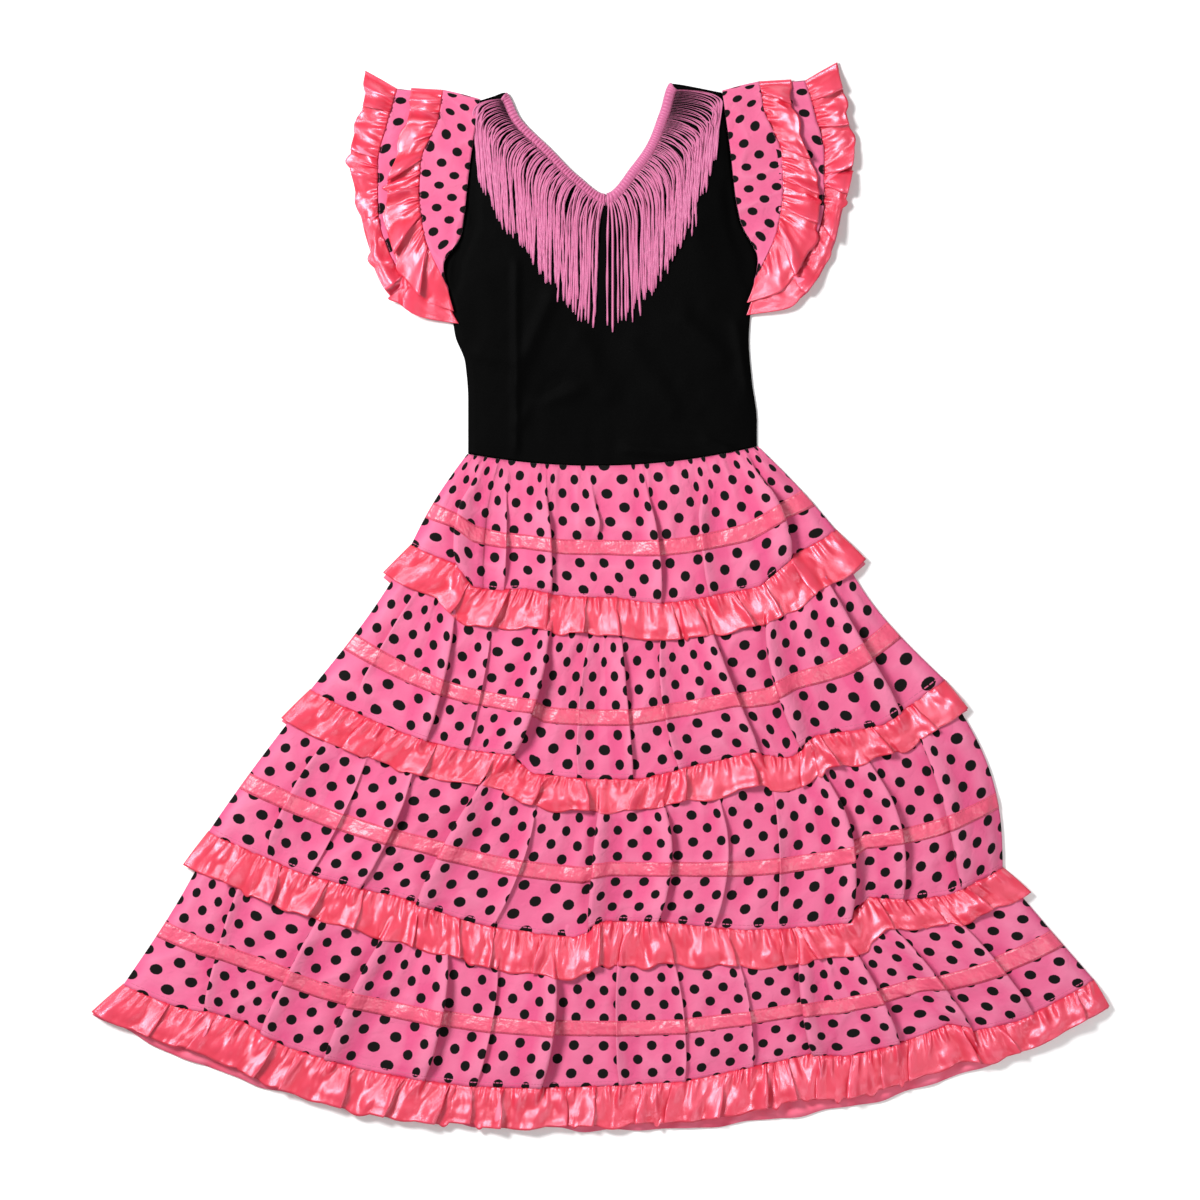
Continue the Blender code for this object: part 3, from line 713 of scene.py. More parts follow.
class RuffleCloth(Pleats):
    """Gathered satin: puckers at the seam that run out into petals at the free edge."""

    def __init__(self, wide, tiles, seed, bold=1.0):
        super().__init__(wide, ruffle_folds(wide, tiles, seed, bold), RUFFLE_STEP)
        self.seed = seed
        random = np.random.default_rng(seed + 1)
        count = int(self.along[-1] / PUCKER_PITCH)
        self.puckers = np.stack((
            (np.arange(count) + random.uniform(0.1, 0.9, count)) * self.along[-1] / count,
            random.uniform(1.0, 3.6, count),
            random.uniform(0.3, 0.85, count),
            random.uniform(-6.0, 6.0, count),
        ), axis=-1)
        ends = random.uniform(-1.6, 1.6, tiles + 1)
        bows = random.uniform(0.6, 4.2, tiles)
        petal = np.where(self.kind == 0, self.number + self.part, self.number + 1.0)
        self.edge = np.interp(petal, np.arange(tiles + 1), ends)
        self.edge += np.where(self.kind == 0, bows[self.number] * np.sin(math.pi * self.part), 0.0)

    def relief(self, column, out):
        """Share across, and height over the ruffle's bed."""
        opened = 0.12 + 0.88 * ease(out, -0.15, 0.75)
        share, z = self.shares(column, out, opened)
        along = self.along[column]
        for place, deep, long, drift in self.puckers:
            here = np.abs(along - place) < PUCKER_REACH
            off = along[here] - place - drift * out[here]
            wide = 1.15 + 2.4 * out[here]
            z[here] += deep * np.exp(-((off / wide) ** 2)) * (1 - ease(out[here], 0.1 * long, long))
        far = out * RUFFLE_LONG
        z += hills(along + out * 9, far, 12.0, 24.0, self.seed + 3) * 2.3 * ease(out, 0.05, 0.8)
        z += hills(along - out * 8, far, 5.5, 14.0, self.seed + 4) * 0.8 * (1 - 0.4 * out)
        z += rumple(along, far, 2.6, 6.0, self.seed + 5) * 0.2
        return share, z + 1.4 * np.sin(math.pi * np.minimum(1.0, out * 1.15 + 0.03))


def make_ruffle_front(tier, looks, tier_cloth, under):
    number = tier["number"]
    seam, edge = tier["bottom"], f"edge_{number}"
    wide = width_of(edge)
    cloth = RuffleCloth(wide * 1.03, tier["tiles"], 100 + 10 * number)
    columns, rows = cloth.count - 1, 20
    length = RUFFLE_LONG
    hem_share, hem_dip, hem_z = hem_of(tier_cloth)

    def place(column, row):
        out = row / rows
        share, z = cloth.relief(column, out)
        inside = np.clip(share, 0, 1)
        x_seam, y_seam = on_line(seam, inside)
        x_edge, y_edge = on_line(edge, inside)
        x = between(x_seam, x_edge, out)
        y = between(y_seam + 0.9, y_edge, out) - cloth.edge[column] * out ** 2
        y = y + np.interp(inside, hem_share, hem_dip) * (1 - 0.25 * out)
        rooted = np.interp(inside, hem_share, hem_z) - 1.2
        bed = between(rooted, FRONT_OVER + CLOTH, ease(out, 0.0, 0.6))
        sides = ease(np.minimum(share, 1 - share) * wide, -1.0, 7.0)
        z = bed + z * between(0.35, 1.0, sides) * ease(out, -0.05, 0.1)
        if under:
            z = lay_over(under, x, y, z, 0.9)
        return x, y, z

    flat = pleated_flat(cloth, rows, length)
    piece = grid_piece(f"ruffle_{number}_front_satin", columns, rows, place, flat)
    finish_piece(piece, [f"skirt_ruffle_{number}_front"], [looks["satin"], looks["reverse"]])


def hem_of(tier_cloth):
    """The tier's hem from left to right where it shows: shares across, dips and heights."""
    column = np.arange(tier_cloth.count)
    down = np.ones(tier_cloth.count)
    share, _ = tier_cloth.shares(column, down, read(SWELL, "down", down, "share"))
    _, _, z = tier_cloth.surface(column, down)
    shows = share >= np.maximum.accumulate(share)
    return share[shows], tier_cloth.dip[shows], z[shows]


def make_ruffle_back(tier, looks):
    number = tier["number"]
    seam, edge = tier["bottom"], f"edge_{number}"
    wide = width_of(edge)
    columns, rows = int(wide / 3), 6
    tall = 1.1 if number == 4 else 0.3

    def place(column, row):
        share, out = column / columns, row / rows
        x_seam, y_seam = on_line(seam, share)
        x_edge, y_edge = on_line(edge, share)
        reach = 1.02 + 0.08 * rumple(share * wide, share * 0, 21.0, 50.0, 170 + number)
        x = between(x_seam, x_edge, out)
        y = between(y_seam - GAP, y_edge - 2.0, out * reach)
        z = 0.1 + tall * hills(share * wide + 12 * out, out * RUFFLE_LONG, 9.0, 26.0, 160 + number)
        return x, y, z

    flat = plain_flat(columns, rows, wide, RUFFLE_LONG)
    piece = grid_piece(f"ruffle_{number}_back_satin", columns, rows, place, flat, facing=-1)
    finish_piece(piece, [f"skirt_ruffle_{number}_back"], [looks["satin"], looks["reverse"]])


# Bodice

def bodice_place(u, v):
    sides = []
    for rows in (BODICE_LEFT, BODICE_RIGHT):
        y_side = between(rows[0]["y"], rows[-1]["y"], v)
        sides.append(read(rows, "y", y_side, "x"))
    x_first, x_last = BODICE_TOP[0]["x"], BODICE_TOP[-1]["x"]
    top_share = (read(BODICE_TOP, "share", u, "x") - x_first) / (x_last - x_first)
    x = between(sides[0], sides[1], between(top_share, u, v))
    y = between(read(BODICE_TOP, "share", u, "y"), on_line("waist", u)[1], v)
    return x, y


def crease_height(x, y):
    total = np.zeros_like(x)
    for crease in BODICE_CREASES:
        ax, ay, bx, by = (crease[key] for key in ("x1", "y1", "x2", "y2"))
        long = math.hypot(bx - ax, by - ay)
        along = ((x - ax) * (bx - ax) + (y - ay) * (by - ay)) / long
        off = ((x - ax) * (by - ay) - (y - ay) * (bx - ax)) / long
        fade = ease(along, -6.0, 8.0) * (1 - ease(along, long - 8.0, long + 6.0))
        total += crease["height"] * np.exp(-((off / crease["width"]) ** 2)) * fade
    return total


def make_bodice_half(half, looks):
    name, low, columns, rows, facing = half.values()

    def place(column, row):
        u, v = column / columns, row / rows
        x, y = bodice_place(u, v)
        z = np.full(len(x), low)
        if facing > 0:
            relief = 0.9 + crease_height(x, y) + rumple(x, y, 24.0, 40.0, 5) * 0.5
            z += relief + rumple(x, y, 9.0, 12.0, 6) * 0.16
            edge = np.minimum(np.minimum(u, 1 - u) * 210.0, 40.0)
            z = between(1.4, z, ease(edge, -1.0, 5.0))
            z = np.maximum(z, low + 0.2)
        return x, y, z

    flat = plain_flat(columns, rows, BODICE_WIDE, BODICE_LONG)
    piece = grid_piece(f"bodice_{name}_jersey", columns, rows, place, flat, facing)
    finish_piece(piece, [f"bodice_{name}"], [looks["jersey"]], thick=0.6)


# Neck fringe

def neck_point(neck, share):
    """A point on the front neck edge, and the way from it across the braid."""
    here = np.atleast_1d(between(neck["start"], neck["end"], share))
    small = 0.002
    x, y = bodice_place(here, np.zeros_like(here))
    x1, y1 = bodice_place(here - small, np.zeros_like(here))
    x2, y2 = bodice_place(here + small, np.zeros_like(here))
    long = np.hypot(x2 - x1, y2 - y1)
    off_x, off_y = (y2 - y1) / long, -(x2 - x1) / long
    flip = np.where(off_y > 0, -1, 1)
    return x, y, off_x * flip, off_y * flip


def make_fringe(neck, looks, strands):
    side = neck["side"]
    columns, rows = BRAID_COLUMNS, 6
    low = BODICE_FRONT_LOW + CLOTH + GAP + 0.2

    def place(column, row):
        share = column / columns
        x, y, off_x, off_y = neck_point(neck, share)
        mitre = ease(share, 0.93, 1.0)
        off_x, off_y = off_x * (1 - mitre), between(off_y, -1.35, mitre)
        out = row / rows * BRAID_WIDTH - 0.4
        rib = np.abs(np.sin(share * math.pi * BRAID_RIBS + 0.5 * np.sin(row / rows * math.pi)))
        arch = np.sin(math.pi * (row + 0.4) / (rows + 0.8))
        return x + off_x * out, y + off_y * out, low + (0.5 + 2.0 * rib) * arch

    flat = plain_flat(columns, rows, BRAID_LONG, BRAID_WIDTH)
    braid = grid_piece(f"neck_braid_{side}", columns, rows, place, flat)
    finish_piece(braid, [f"neck_fringe_{side}"], [looks["braid"]], thick=0.9)
    random = np.random.default_rng(STRAND_SEEDS[side])
    bm = bmesh.new()
    for number in range(strands):
        share = (number + 0.5) / strands
        x, y, off_x, off_y = (float(value[0]) for value in neck_point(neck, share))
        root = Vector((x + off_x * (BRAID_WIDTH - 1.0), y + off_y * (BRAID_WIDTH - 1.0)))
        drop = between(neck["drop_shoulder"], neck["drop_centre"], share ** 0.8) * random.uniform(0.92, 1.06)
        reach = between(neck["out_shoulder"], neck["out_centre"], share ** 0.8) + random.normal(0, 1.6)
        back = between(neck["back_shoulder"], neck["back_centre"], share) + random.normal(0, 2.2)
        if number >= strands - neck["loose"]:
            reach, back = 2.6 * (strands - number) - 3.4, 0.0
        fall = between(1.75, 1.3, min(1.0, share / 0.4))
        sway, turn = random.normal(0, 1.1), random.uniform(0, math.tau)
        lift = random.uniform(0.0, 2.6)
        thick = random.uniform(0.66, 0.86)
        made = bmesh.ops.create_grid(bm, x_segments=STRAND_SIDES, y_segments=STRAND_STEPS, size=0.5)
        for vert in made["verts"]:
            around = (vert.co.x + 0.5) * math.tau
            down = vert.co.y + 0.5
            out = reach * (1 - (1 - min(1.0, down / 0.4)) ** 2) + back * max(0.0, down - 0.2) ** 1.5
            out += sway * math.sin(down * 4.2 + turn)
            spot = root + Vector((out, -drop * down ** fall))
            ply = 1 + 0.28 * math.cos(2 * (around - down * drop * 1.6))
            size = thick * ply * (0.55 if down > 0.995 else 1.0)
            z = low + 0.5 + lift * math.sin(math.pi * min(1.0, down * 1.4 + 0.1)) ** 2 + 0.3
            aside, above = size * math.cos(around), size * math.sin(around)
            vert.co = Vector((spot.x + aside, spot.y - MIDDLE[1], z + above)) * MM
    bmesh.ops.remove_doubles(bm, verts=bm.verts[:], dist=0.00001)
    bmesh.ops.holes_fill(bm, edges=bm.edges[:], sides=STRAND_SIDES)
    bmesh.ops.recalc_face_normals(bm, faces=bm.faces[:])
    mesh = bpy.data.meshes.new(f"neck_strands_{side}")
    bm.to_mesh(mesh)
    bm.free()
    mesh.shade_smooth()
    piece = bpy.data.objects.new(f"neck_strands_{side}", mesh)
    bpy.context.scene.collection.objects.link(piece)
    finish_piece(piece, [f"neck_fringe_{side}"], [looks["yarn"]], thick=0)


# Sleeves

def armhole_spot(side, share):
    y = between(ARMHOLE_TOP, ARMHOLE_BOTTOM, share)
    if side == "left":
        return read(BODICE_LEFT, "y", y, "x") - GAP, y
    x = read(BODICE_RIGHT, "y", y + MIRROR_SHIFT[1], "x") + GAP
    return MIRROR_SHIFT[0] - x, y


def sleeve_line(side, name, share):
    if name == "armhole":
        return armhole_spot(side, share)
    rows = SLEEVE_LINES[name]
    return read(rows, "share", share, "x"), read(rows, "share", share, "y")


def make_sleeve_piece(side, piece, looks, under):
    """One length folded over the shoulder line: back half, turn, and the front half that shows."""
    name = piece["name"]
    ruffled = piece["tiles"] > 0
    seed = SLEEVE_SEEDS[side] + len(name) * 7
    back, turn, long = SLEEVE_BACK, SLEEVE_TURN, SLEEVE_LONG
    cloth = RuffleCloth(long, piece["tiles"], seed, piece["bold"]) if ruffled else None
    front = cloth.count - 1 if ruffled else SLEEVE_FRONT
    rows = 16 if ruffled else 20
    columns = back + turn + front
    spread = np.clip((np.arange(columns + 1) - back - turn) / front, 0, 1)
    if not ruffled:
        x_in, y_in = sleeve_line(side, piece["inner"], spread)
        x_out, y_out = sleeve_line(side, piece["outer"], spread)
        wide = np.hypot(x_out - x_in, y_out - y_in)
    else:
        wide = np.full(columns + 1, RUFFLE_LONG)

    def place(column, row):
        out = row / rows
        number = np.clip(column - back - turn, 0, front)
        if ruffled:
            share_front, relief = cloth.relief(number, out)
            share_front = np.clip(share_front, 0, 1)
        else:
            share_front = number / front
            along, far = share_front * long, out * 40
            relief = hills(along, far, 22.0, 60.0, seed) * 1.6
            relief += creases(along + 18 * out, far, 26.0, 34.0, seed + 3) * 1.2
            relief += hills(along, far, 5.0, 30.0, seed + 1) * 0.6 * np.exp(-out * 3)
            relief += hills(along, far, 5.0, 30.0, seed + 2) * 0.5 * np.exp(-(1 - out) * 5)
        share = np.where(column < back, 1 - column / back, share_front)
        share = np.where((column >= back) & (column <= back + turn), 0.0, share)
        x_in, y_in = sleeve_line(side, piece["inner"], share)
        x_out, y_out = sleeve_line(side, piece["outer"], share)
        x, y = between(x_in, x_out, out), between(y_in, y_out, out)
        if name == "lower_tier":
            x = x + SLEEVE_TUCK * (1 - 0.9 * share) * (1 - out)
        y = y - piece["fold_inset"] * (1 - share) * (1 - out)
        back_z = np.full(len(x), piece["back_low"] + 0.1)
        if name == "lower_ruffle":
            back_z -= BACK_OVER * np.minimum(1.0, 2 * out)
        front_z = np.full(len(x), piece["front_low"] + CLOTH - 0.1)
        if name == "upper_tier":
            front_z -= STEP_UP * np.maximum(0.0, 1 - 2 * out)
        fade = ease(share * long, 0.0, 12.0) * (1 - 0.6 * ease(share * long, long - 10, long))
        front_z = front_z + relief * fade
        way = np.clip((column - back) / turn, 0, 1)
        angle = way * math.pi
        radius = (front_z - back_z) / 2
        turning = (column > back) & (column < back + turn)
        z = np.where(column <= back, back_z, front_z)
        z = np.where(turning, back_z + radius * (1 - np.cos(angle)), z)
        y = y + np.where(turning, radius * np.sin(angle), 0.0)
        if ruffled:
            scallop = rumple(share * long, share * 0, 17.0, 50.0, seed + 5) * 1.8 - cloth.edge[number] + 1.5
            x = x + scallop * out ** 2 * ease(share * long, 0.0, 20.0)
        if side == "right":
            x, y = MIRROR_SHIFT[0] - x, y + MIRROR_SHIFT[1]
        if under:
            lifted = lay_over(under, x, y, z, 0.8)
            z = np.where(column >= back + turn, lifted, z)
        return x, y, z

    def flat(column, row):
        number = np.clip(column - back - turn, 0, front)
        along = cloth.along[number] if ruffled else number / front * long
        along = np.where(column < back + turn, (column - back - turn) / (back + turn) * long, along)
        return along, -row / rows * wide[column]

    made = grid_piece(f"sleeve_{side}_{name}_cloth", columns, rows, place, flat, 1 if side == "left" else -1)
    materials = [looks["satin"], looks["reverse"]] if ruffled else [looks["cotton"]]
    finish_piece(made, [f"sleeve_{side}_{name}"], materials)
    return made, (float(cloth.along[-1]) if ruffled else long) + long


# Materials

class Look:
    """A material: its shader, and the nodes that feed it."""

    def __init__(self, name, colour, roughness, values):
        self.material = bpy.data.materials.new(name)
        self.material.use_nodes = True
        self.tree = self.material.node_tree
        self.shader = self.tree.nodes["Principled BSDF"]
        self.feed(self.shader, {"Base Color": (*colour, 1.0), "Roughness": roughness, **values})

    def new(self, kind):
        return self.tree.nodes.new("ShaderNode" + kind)

    def feed(self, node, values, out=0):
        """Sets a node's inputs, or links them to other nodes, and returns its output."""
        for key, value in values.items():
            if isinstance(value, bpy.types.NodeSocket):
                self.tree.links.new(value, node.inputs[key])
            else:
                node.inputs[key].default_value = value
        return node.outputs[out]

    def do(self, operation, *terms):
        node = self.new("Math")
        node.operation = operation
        return self.feed(node, dict(enumerate(terms)))

    def cloth(self):
        """The spot on the flat cloth: both ways in one, across, and down."""
        chart = self.new("UVMap")
        chart.uv_map = "cloth"
        parts = self.new("SeparateXYZ")
        self.feed(parts, {0: chart.outputs[0]})
        return chart.outputs[0], parts.outputs[0], parts.outputs[1]

    def attribute(self, name):
        node = self.new("Attribute")
        node.attribute_name = name
        return node.outputs["Fac"]

    def noise(self, vector, scale, detail=3.0, rough=0.5):
        values = {"Scale": scale, "Detail": detail, "Roughness": rough, "Vector": vector}
        return self.feed(self.new("TexNoise"), values)

    def wave(self, way, pitch):
        """Threads side by side along one way of the cloth."""
        return self.do("SINE", self.do("MULTIPLY", way, math.tau / pitch))

    def stitches(self, way, long, share):
        """1 on each stitch, and 0 in the gap after it."""
        return self.do("LESS_THAN", self.do("FRACT", self.do("MULTIPLY", way, 1 / long)), share)

    def mix(self, share, first, second):
        node = self.new("Mix")
        node.data_type = "RGBA"
        ends = [(*end, 1.0) if isinstance(end, tuple) else end for end in (first, second)]
        return self.feed(node, {0: share, 6: ends[0], 7: ends[1]}, 2)

    def done(self, colour, height, strength, distance):
        """Gives the shader its colour and its relief, and returns the material."""
        relief = self.feed(self.new("Bump"), {"Strength": strength, "Distance": distance, "Height": height})
        self.feed(self.shader, {"Base Color": colour, "Normal": relief})
        return self.material


def tinted(colour, factors):
    """A colour times one factor, or times one for each channel."""
    return tuple(float(value) for value in np.multiply(tuple(colour), factors))


def dot_mask(look, u, v, sizes, wobble):
    """1 inside the dots of a half-dropped lattice on the flat cloth."""
    distances = []
    for shift in (0.0, 0.5):
        squares = []
        for way, pitch in ((u, sizes.dot_across), (v, sizes.dot_down)):
            place = look.do("MULTIPLY_ADD", way, 1 / pitch, shift + DOTS_BEFORE)
            real = look.do("MULTIPLY", look.do("SUBTRACT", look.do("FRACT", place), 0.5), pitch)
            squares.append(look.do("MULTIPLY", real, real))
        distances.append(look.do("SQRT", look.do("ADD", *squares)))
    near = look.do("ADD", look.do("MINIMUM", *distances), wobble)
    low, high = sizes.dot_wide / 2 + DOT_BLUR, sizes.dot_wide / 2 - DOT_BLUR
    return look.feed(look.new("MapRange"), {"From Min": low, "From Max": high, "Value": near})


def cotton_look(sizes, colours):
    look = Look("cotton_cloth", colours.cotton, 0.82, {"Sheen Weight": 0.03, "Specular IOR Level": 0.12})
    chart, u, v = look.cloth()
    fine = look.noise(chart, 900.0)
    wobble = look.do("MULTIPLY_ADD", fine, 0.0007, -0.00035)
    # Painted light and shade: the ground is painted paler on the crests and darker, more saturated, in the
    # hollows, by the hollow attribute with random patches added.
    crest_painted_light = tinted(colours.cotton, (1.0, 1.22, 1.12))
    hollow_painted_shade = tinted(colours.cotton, (0.92, 0.60, 0.78))
    hollow = look.do("MULTIPLY_ADD", look.attribute("hollow"), 0.5, look.noise(chart, 26.0))
    ground = look.mix(hollow, crest_painted_light, hollow_painted_shade)
    ground = look.mix(dot_mask(look, u, v, sizes, wobble), ground, tuple(colours.dots))
    at_hem = look.do("COMPARE", look.attribute("down"), HEM_STITCH, 0.0026)
    sewn = look.do("MULTIPLY", at_hem, look.stitches(u, HEM_STITCH_LONG, 0.75))
    ground = look.mix(sewn, ground, tinted(colours.cotton, 0.8))
    weave = look.do("MULTIPLY", look.wave(u, WEAVE_PITCH), look.wave(v, WEAVE_PITCH))
    height = look.do("MULTIPLY_ADD", fine, 1.5, weave)
    crumpled = look.noise(chart, 48.0, rough=0.55)
    valley = look.do("ABSOLUTE", look.do("SUBTRACT", crumpled, 0.5))
    height = look.do("MULTIPLY_ADD", look.do("MINIMUM", valley, 0.05), 60.0, height)
    height = look.do("MULTIPLY_ADD", crumpled, 45.0, height)
    return look.done(ground, height, 0.6, 0.00008)


def satin_look(name, colour, roughness, bright):
    """Satin: a bright face with float threads across, or its matt reverse."""
    glossy = {"Specular IOR Level": 1.0, "IOR": 1.82, "Specular Tint": (1.0, 0.60, 0.76, 1.0)}
    look = Look(name, colour, roughness, glossy if bright else {})
    chart, _, v = look.cloth()
    # Painted light and shade: the satin's colour is painted paler on the crests and darker, more saturated,
    # in the hollows, by the hollow attribute with random patches added.
    hollow = look.do("MULTIPLY_ADD", look.attribute("hollow"), 0.5, look.noise(chart, 60.0))
    ground = look.mix(hollow, tinted(colour, (1.0, 1.5, 1.3)), tinted(colour, (0.84, 0.4, 0.5)))
    rumpled = look.noise(chart, 210.0, 4.0, 0.55)
    height = look.do("MULTIPLY_ADD", rumpled, 8.0, look.wave(v, SATIN_PITCH))
    return look.done(ground, height, 0.35 if bright else 0.2, 0.0001)


def ribbon_look(colour, sizes):
    look = Look("ribbon_satin", colour, 0.42, {"Specular IOR Level": 0.9})
    chart, u, v = look.cloth()
    half = sizes.ribbon_wide / 2
    side = look.do("ABSOLUTE", look.do("ADD", v, half))
    at_row = look.do("COMPARE", side, half - RIBBON_STITCH_IN, 0.0003)
    mask = look.do("MULTIPLY", at_row, look.stitches(u, RIBBON_STITCH_LONG, 0.72))
    ground = look.mix(look.noise(chart, 150.0), tuple(colour), tinted(colour, 0.7))
    ground = look.mix(mask, ground, tinted(colour, 0.62))
    height = look.do("MULTIPLY_ADD", look.noise(chart, 190.0, 2.0), 16.0, mask)
    return look.done(ground, height, 0.6, 0.00012)


def jersey_look(colour):
    look = Look("jersey_knit", colour, 0.5, {"Specular IOR Level": 0.018})
    chart, u, v = look.cloth()
    rib = look.do("ABSOLUTE", look.wave(u, KNIT_RIB))
    knit = look.do("MULTIPLY_ADD", look.wave(v, KNIT_LOOP), 0.5, rib)
    fuzz = look.noise(chart, 700.0)
    ground = look.mix(fuzz, tuple(colour), tinted(colour, 1.7))
    return look.done(ground, look.do("ADD", knit, fuzz), 0.35, 0.0001)


def yarn_look(name, colour, pitch):
    look = Look(name, colour, 0.5, {"Sheen Weight": 0.3})
    fibres = look.noise(look.new("TexCoord").outputs["Object"], pitch)
    light = tuple(min(1.0, value) for value in tinted(colour, 1.15))
    return look.done(look.mix(fibres, tinted(colour, 0.6), light), fibres, 0.5, 0.0002)


def dress_looks():
    """The dress's materials, made once and then found by name."""
    sizes, colours = bpy.context.scene.dress_sizes, bpy.context.scene.dress_colours
    makers = {
        "cotton": ("cotton_cloth", lambda: cotton_look(sizes, colours)),
        "satin": ("satin_face", lambda: satin_look("satin_face", colours.satin[:], 0.3, True)),
        "reverse": ("satin_reverse", lambda: satin_look("satin_reverse", colours.reverse[:], 0.7, False)),
        "ribbon": ("ribbon_satin", lambda: ribbon_look(colours.ribbon[:], sizes)),
        "jersey": ("jersey_knit", lambda: jersey_look(colours.jersey[:])),
        "yarn": ("fringe_cord", lambda: yarn_look("fringe_cord", colours.yarn[:], 1500.0)),
        "braid": ("fringe_braid", lambda: yarn_look("fringe_braid", colours.yarn[:], 900.0)),
    }
    return {key: bpy.data.materials.get(name) or make() for key, (name, make) in makers.items()}


# The add-on

class DressSizes(bpy.types.PropertyGroup):
    dot_wide: FloatProperty(name="Dot", description="Diameter of a dot", default=0.0078, unit="LENGTH")
    dot_across: FloatProperty(
        name="Dots across", description="Dot pitch along a row", default=0.0228, unit="LENGTH"
    )
    dot_down: FloatProperty(
        name="Dots down", description="Pitch of every second row", default=0.0218, unit="LENGTH"
    )
    ribbon_wide: FloatProperty(name="Ribbon", description="Width of the ribbon", default=0.012, unit="LENGTH")
    strands: IntProperty(
        name="Strands", description="Strands on each side of the neck", default=112, min=10, max=120
    )


class DressColours(bpy.types.PropertyGroup):
    cotton: FloatVectorProperty(
        name="Cotton", description="Ground of the dotted cotton", default=(0.70, 0.146, 0.275),
        subtype="COLOR",
    )
    dots: FloatVectorProperty(
        name="Dots", description="The dots", default=(0.004, 0.003, 0.003), subtype="COLOR"
    )
    satin: FloatVectorProperty(
        name="Satin", description="Face of the satin", default=(0.78, 0.028, 0.068), subtype="COLOR"
    )
    ribbon: FloatVectorProperty(
        name="Ribbon", description="The ribbon", default=(0.80, 0.08, 0.17), subtype="COLOR"
    )
    reverse: FloatVectorProperty(
        name="Reverse", description="Matt back of the satin", default=(0.93, 0.14, 0.25), subtype="COLOR"
    )
    jersey: FloatVectorProperty(
        name="Jersey", description="The bodice", default=(0.0007, 0.0007, 0.0007), subtype="COLOR"
    )
    yarn: FloatVectorProperty(
        name="Yarn", description="Fringe and braid", default=(0.6, 0.135, 0.3), subtype="COLOR"
    )


class DRESS_OT_bodice(bpy.types.Operator):
    """Sew the black bodice, front and back"""
    bl_idname = "dress.bodice"
    bl_label = "Bodice"

    def execute(self, context):
        for half in BODICE_HALVES:
            make_bodice_half(half, dress_looks())
        return {"FINISHED"}


class DRESS_OT_neck_fringe(bpy.types.Operator):
    """Sew the braid and its strands along both sides of the neck"""
    bl_idname = "dress.neck_fringe"
    bl_label = "Neck fringe"

    def execute(self, context):
        for neck in NECK_SIDES:
            make_fringe(neck, dress_looks(), context.scene.dress_sizes.strands)
        return {"FINISHED"}


class DRESS_OT_skirt(bpy.types.Operator):
    """Sew the four dotted tiers with their ribbons, and a gathered satin ruffle under each"""
    bl_idname = "dress.skirt"
    bl_label = "Skirt"

    def execute(self, context):
        looks = dress_looks()
        ribbon = context.scene.dress_sizes.ribbon_wide / MM
        fronts = {}
        for tier in TIERS:
            make_tier_back(tier, looks, ribbon)
            make_ruffle_back(tier, looks)
            fronts[tier["number"]] = make_tier_front(tier, looks)
            make_ribbon_front(tier, fronts[tier["number"]][1], looks, ribbon)
        for tier in TIERS:
            below = [fronts[tier["number"] + 1][0]] if tier["number"] < 4 else []
            make_ruffle_front(tier, looks, fronts[tier["number"]][1], below)
        return {"FINISHED"}


class DRESS_OT_sleeves(bpy.types.Operator):
    """Sew both flounced sleeves"""
    bl_idname = "dress.sleeves"
    bl_label = "Sleeves"

    def execute(self, context):
        looks = dress_looks()
        for side in ("left", "right"):
            below = []
            for piece in SLEEVE_PIECES:
                under = below if piece["name"] == "upper_ruffle" else []
                made, long = make_sleeve_piece(side, piece, looks, under)
                if piece["name"] != "upper_tier":
                    below.append(made)
        return {"FINISHED"}


class DRESS_OT_stage(bpy.types.Operator):
    """Set the pale floor, the soft studio light and the camera"""
    bl_idname = "dress.stage"
    bl_label = "Stage"

    def execute(self, context):
        make_stage(context.scene)
        return {"FINISHED"}


class DRESS_PT_sidebar(bpy.types.Panel):
    """Sizes, colours and steps of the dress"""
    bl_idname = "DRESS_PT_sidebar"
    bl_label = "Flamenco dress"
    bl_space_type = "VIEW_3D"
    bl_region_type = "UI"
    bl_category = "Dress"

    def draw(self, context):
        column = self.layout.column()
        for group in (context.scene.dress_sizes, context.scene.dress_colours):
            for name in group.__annotations__:
                column.prop(group, name)
        for step in STEPS:
            column.operator(step.bl_idname)


STEPS = (DRESS_OT_bodice, DRESS_OT_neck_fringe, DRESS_OT_skirt, DRESS_OT_sleeves, DRESS_OT_stage)
CLASSES = (DressSizes, DressColours, *STEPS, DRESS_PT_sidebar)


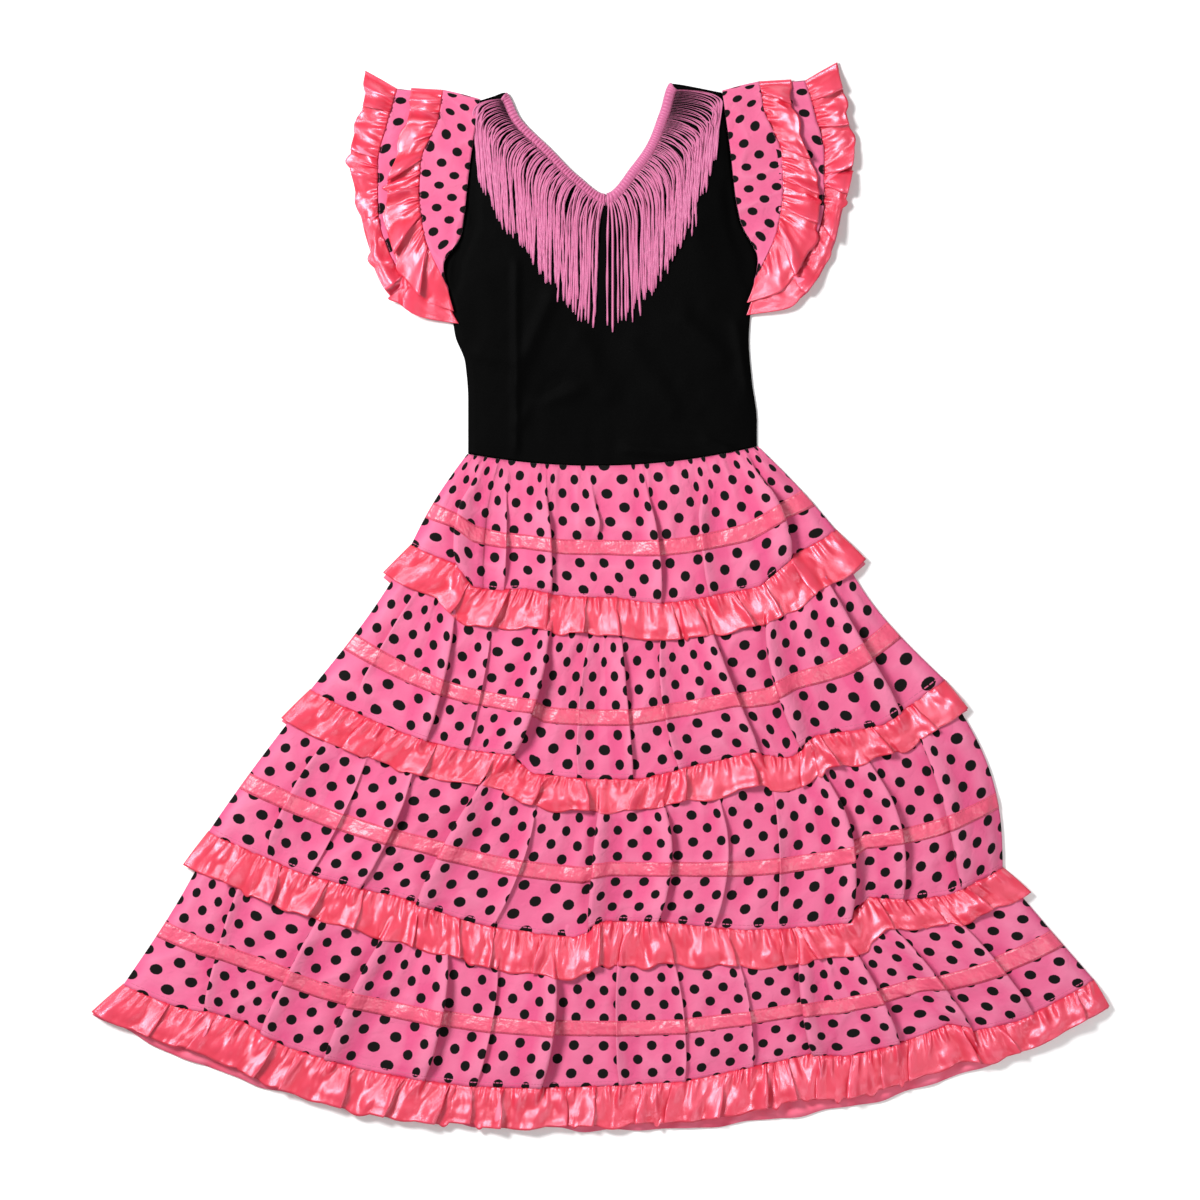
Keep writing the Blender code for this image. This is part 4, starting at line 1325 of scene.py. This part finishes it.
def add_light(name, place, aim, size, power):
    light = bpy.data.lights.new(name, "AREA")
    light.shape = "DISK"
    light.size = size
    light.energy = power
    lamp = bpy.data.objects.new(name, light)
    lamp.location = place
    lamp.rotation_euler = (Vector(aim) - Vector(place)).to_track_quat("-Z", "Y").to_euler()
    bpy.context.scene.collection.objects.link(lamp)


def make_stage(scene):
    bm = bmesh.new()
    bmesh.ops.create_grid(bm, x_segments=1, y_segments=1, size=4.0)
    bmesh.ops.translate(bm, verts=bm.verts[:], vec=(0.0, 0.0, -0.0005))
    mesh = bpy.data.meshes.new("floor")
    bm.to_mesh(mesh)
    bm.free()
    floor = bpy.data.objects.new("floor", mesh)
    scene.collection.objects.link(floor)
    mesh.materials.append(Look("pale_floor", (0.95, 0.95, 0.95), 0.9, {"Specular IOR Level": 0.0}).material)
    for light in LIGHTS:
        add_light(*light.values())
    world = bpy.data.worlds.new("studio")
    world.use_nodes = True
    world.node_tree.nodes["Background"].inputs[0].default_value = (1.0, 1.0, 1.0, 1.0)
    world.node_tree.nodes["Background"].inputs[1].default_value = SKY
    scene.world = world
    scene.view_settings.view_transform = "Standard"
    wide = PHOTO_PIXELS * PIXEL_MM * MM
    camera = bpy.data.objects.new("camera", bpy.data.cameras.new("camera"))
    camera.data.lens = LENS_MM
    camera.data.sensor_width = SENSOR_MM
    camera.location = PHOTO_CENTRE + Vector((0.0, 0.0, wide * LENS_MM / SENSOR_MM))
    scene.collection.objects.link(camera)
    scene.camera = camera


def register():
    for item in CLASSES:
        bpy.utils.register_class(item)
    bpy.types.Scene.dress_sizes = PointerProperty(type=DressSizes)
    bpy.types.Scene.dress_colours = PointerProperty(type=DressColours)


def unregister():
    del bpy.types.Scene.dress_colours
    del bpy.types.Scene.dress_sizes
    for item in reversed(CLASSES):
        bpy.utils.unregister_class(item)


def main():
    register()
    bpy.ops.dress.stage()
    bpy.ops.dress.bodice()
    bpy.ops.dress.neck_fringe()
    bpy.ops.dress.skirt()
    bpy.ops.dress.sleeves()


if __name__ == "__main__":
    main()
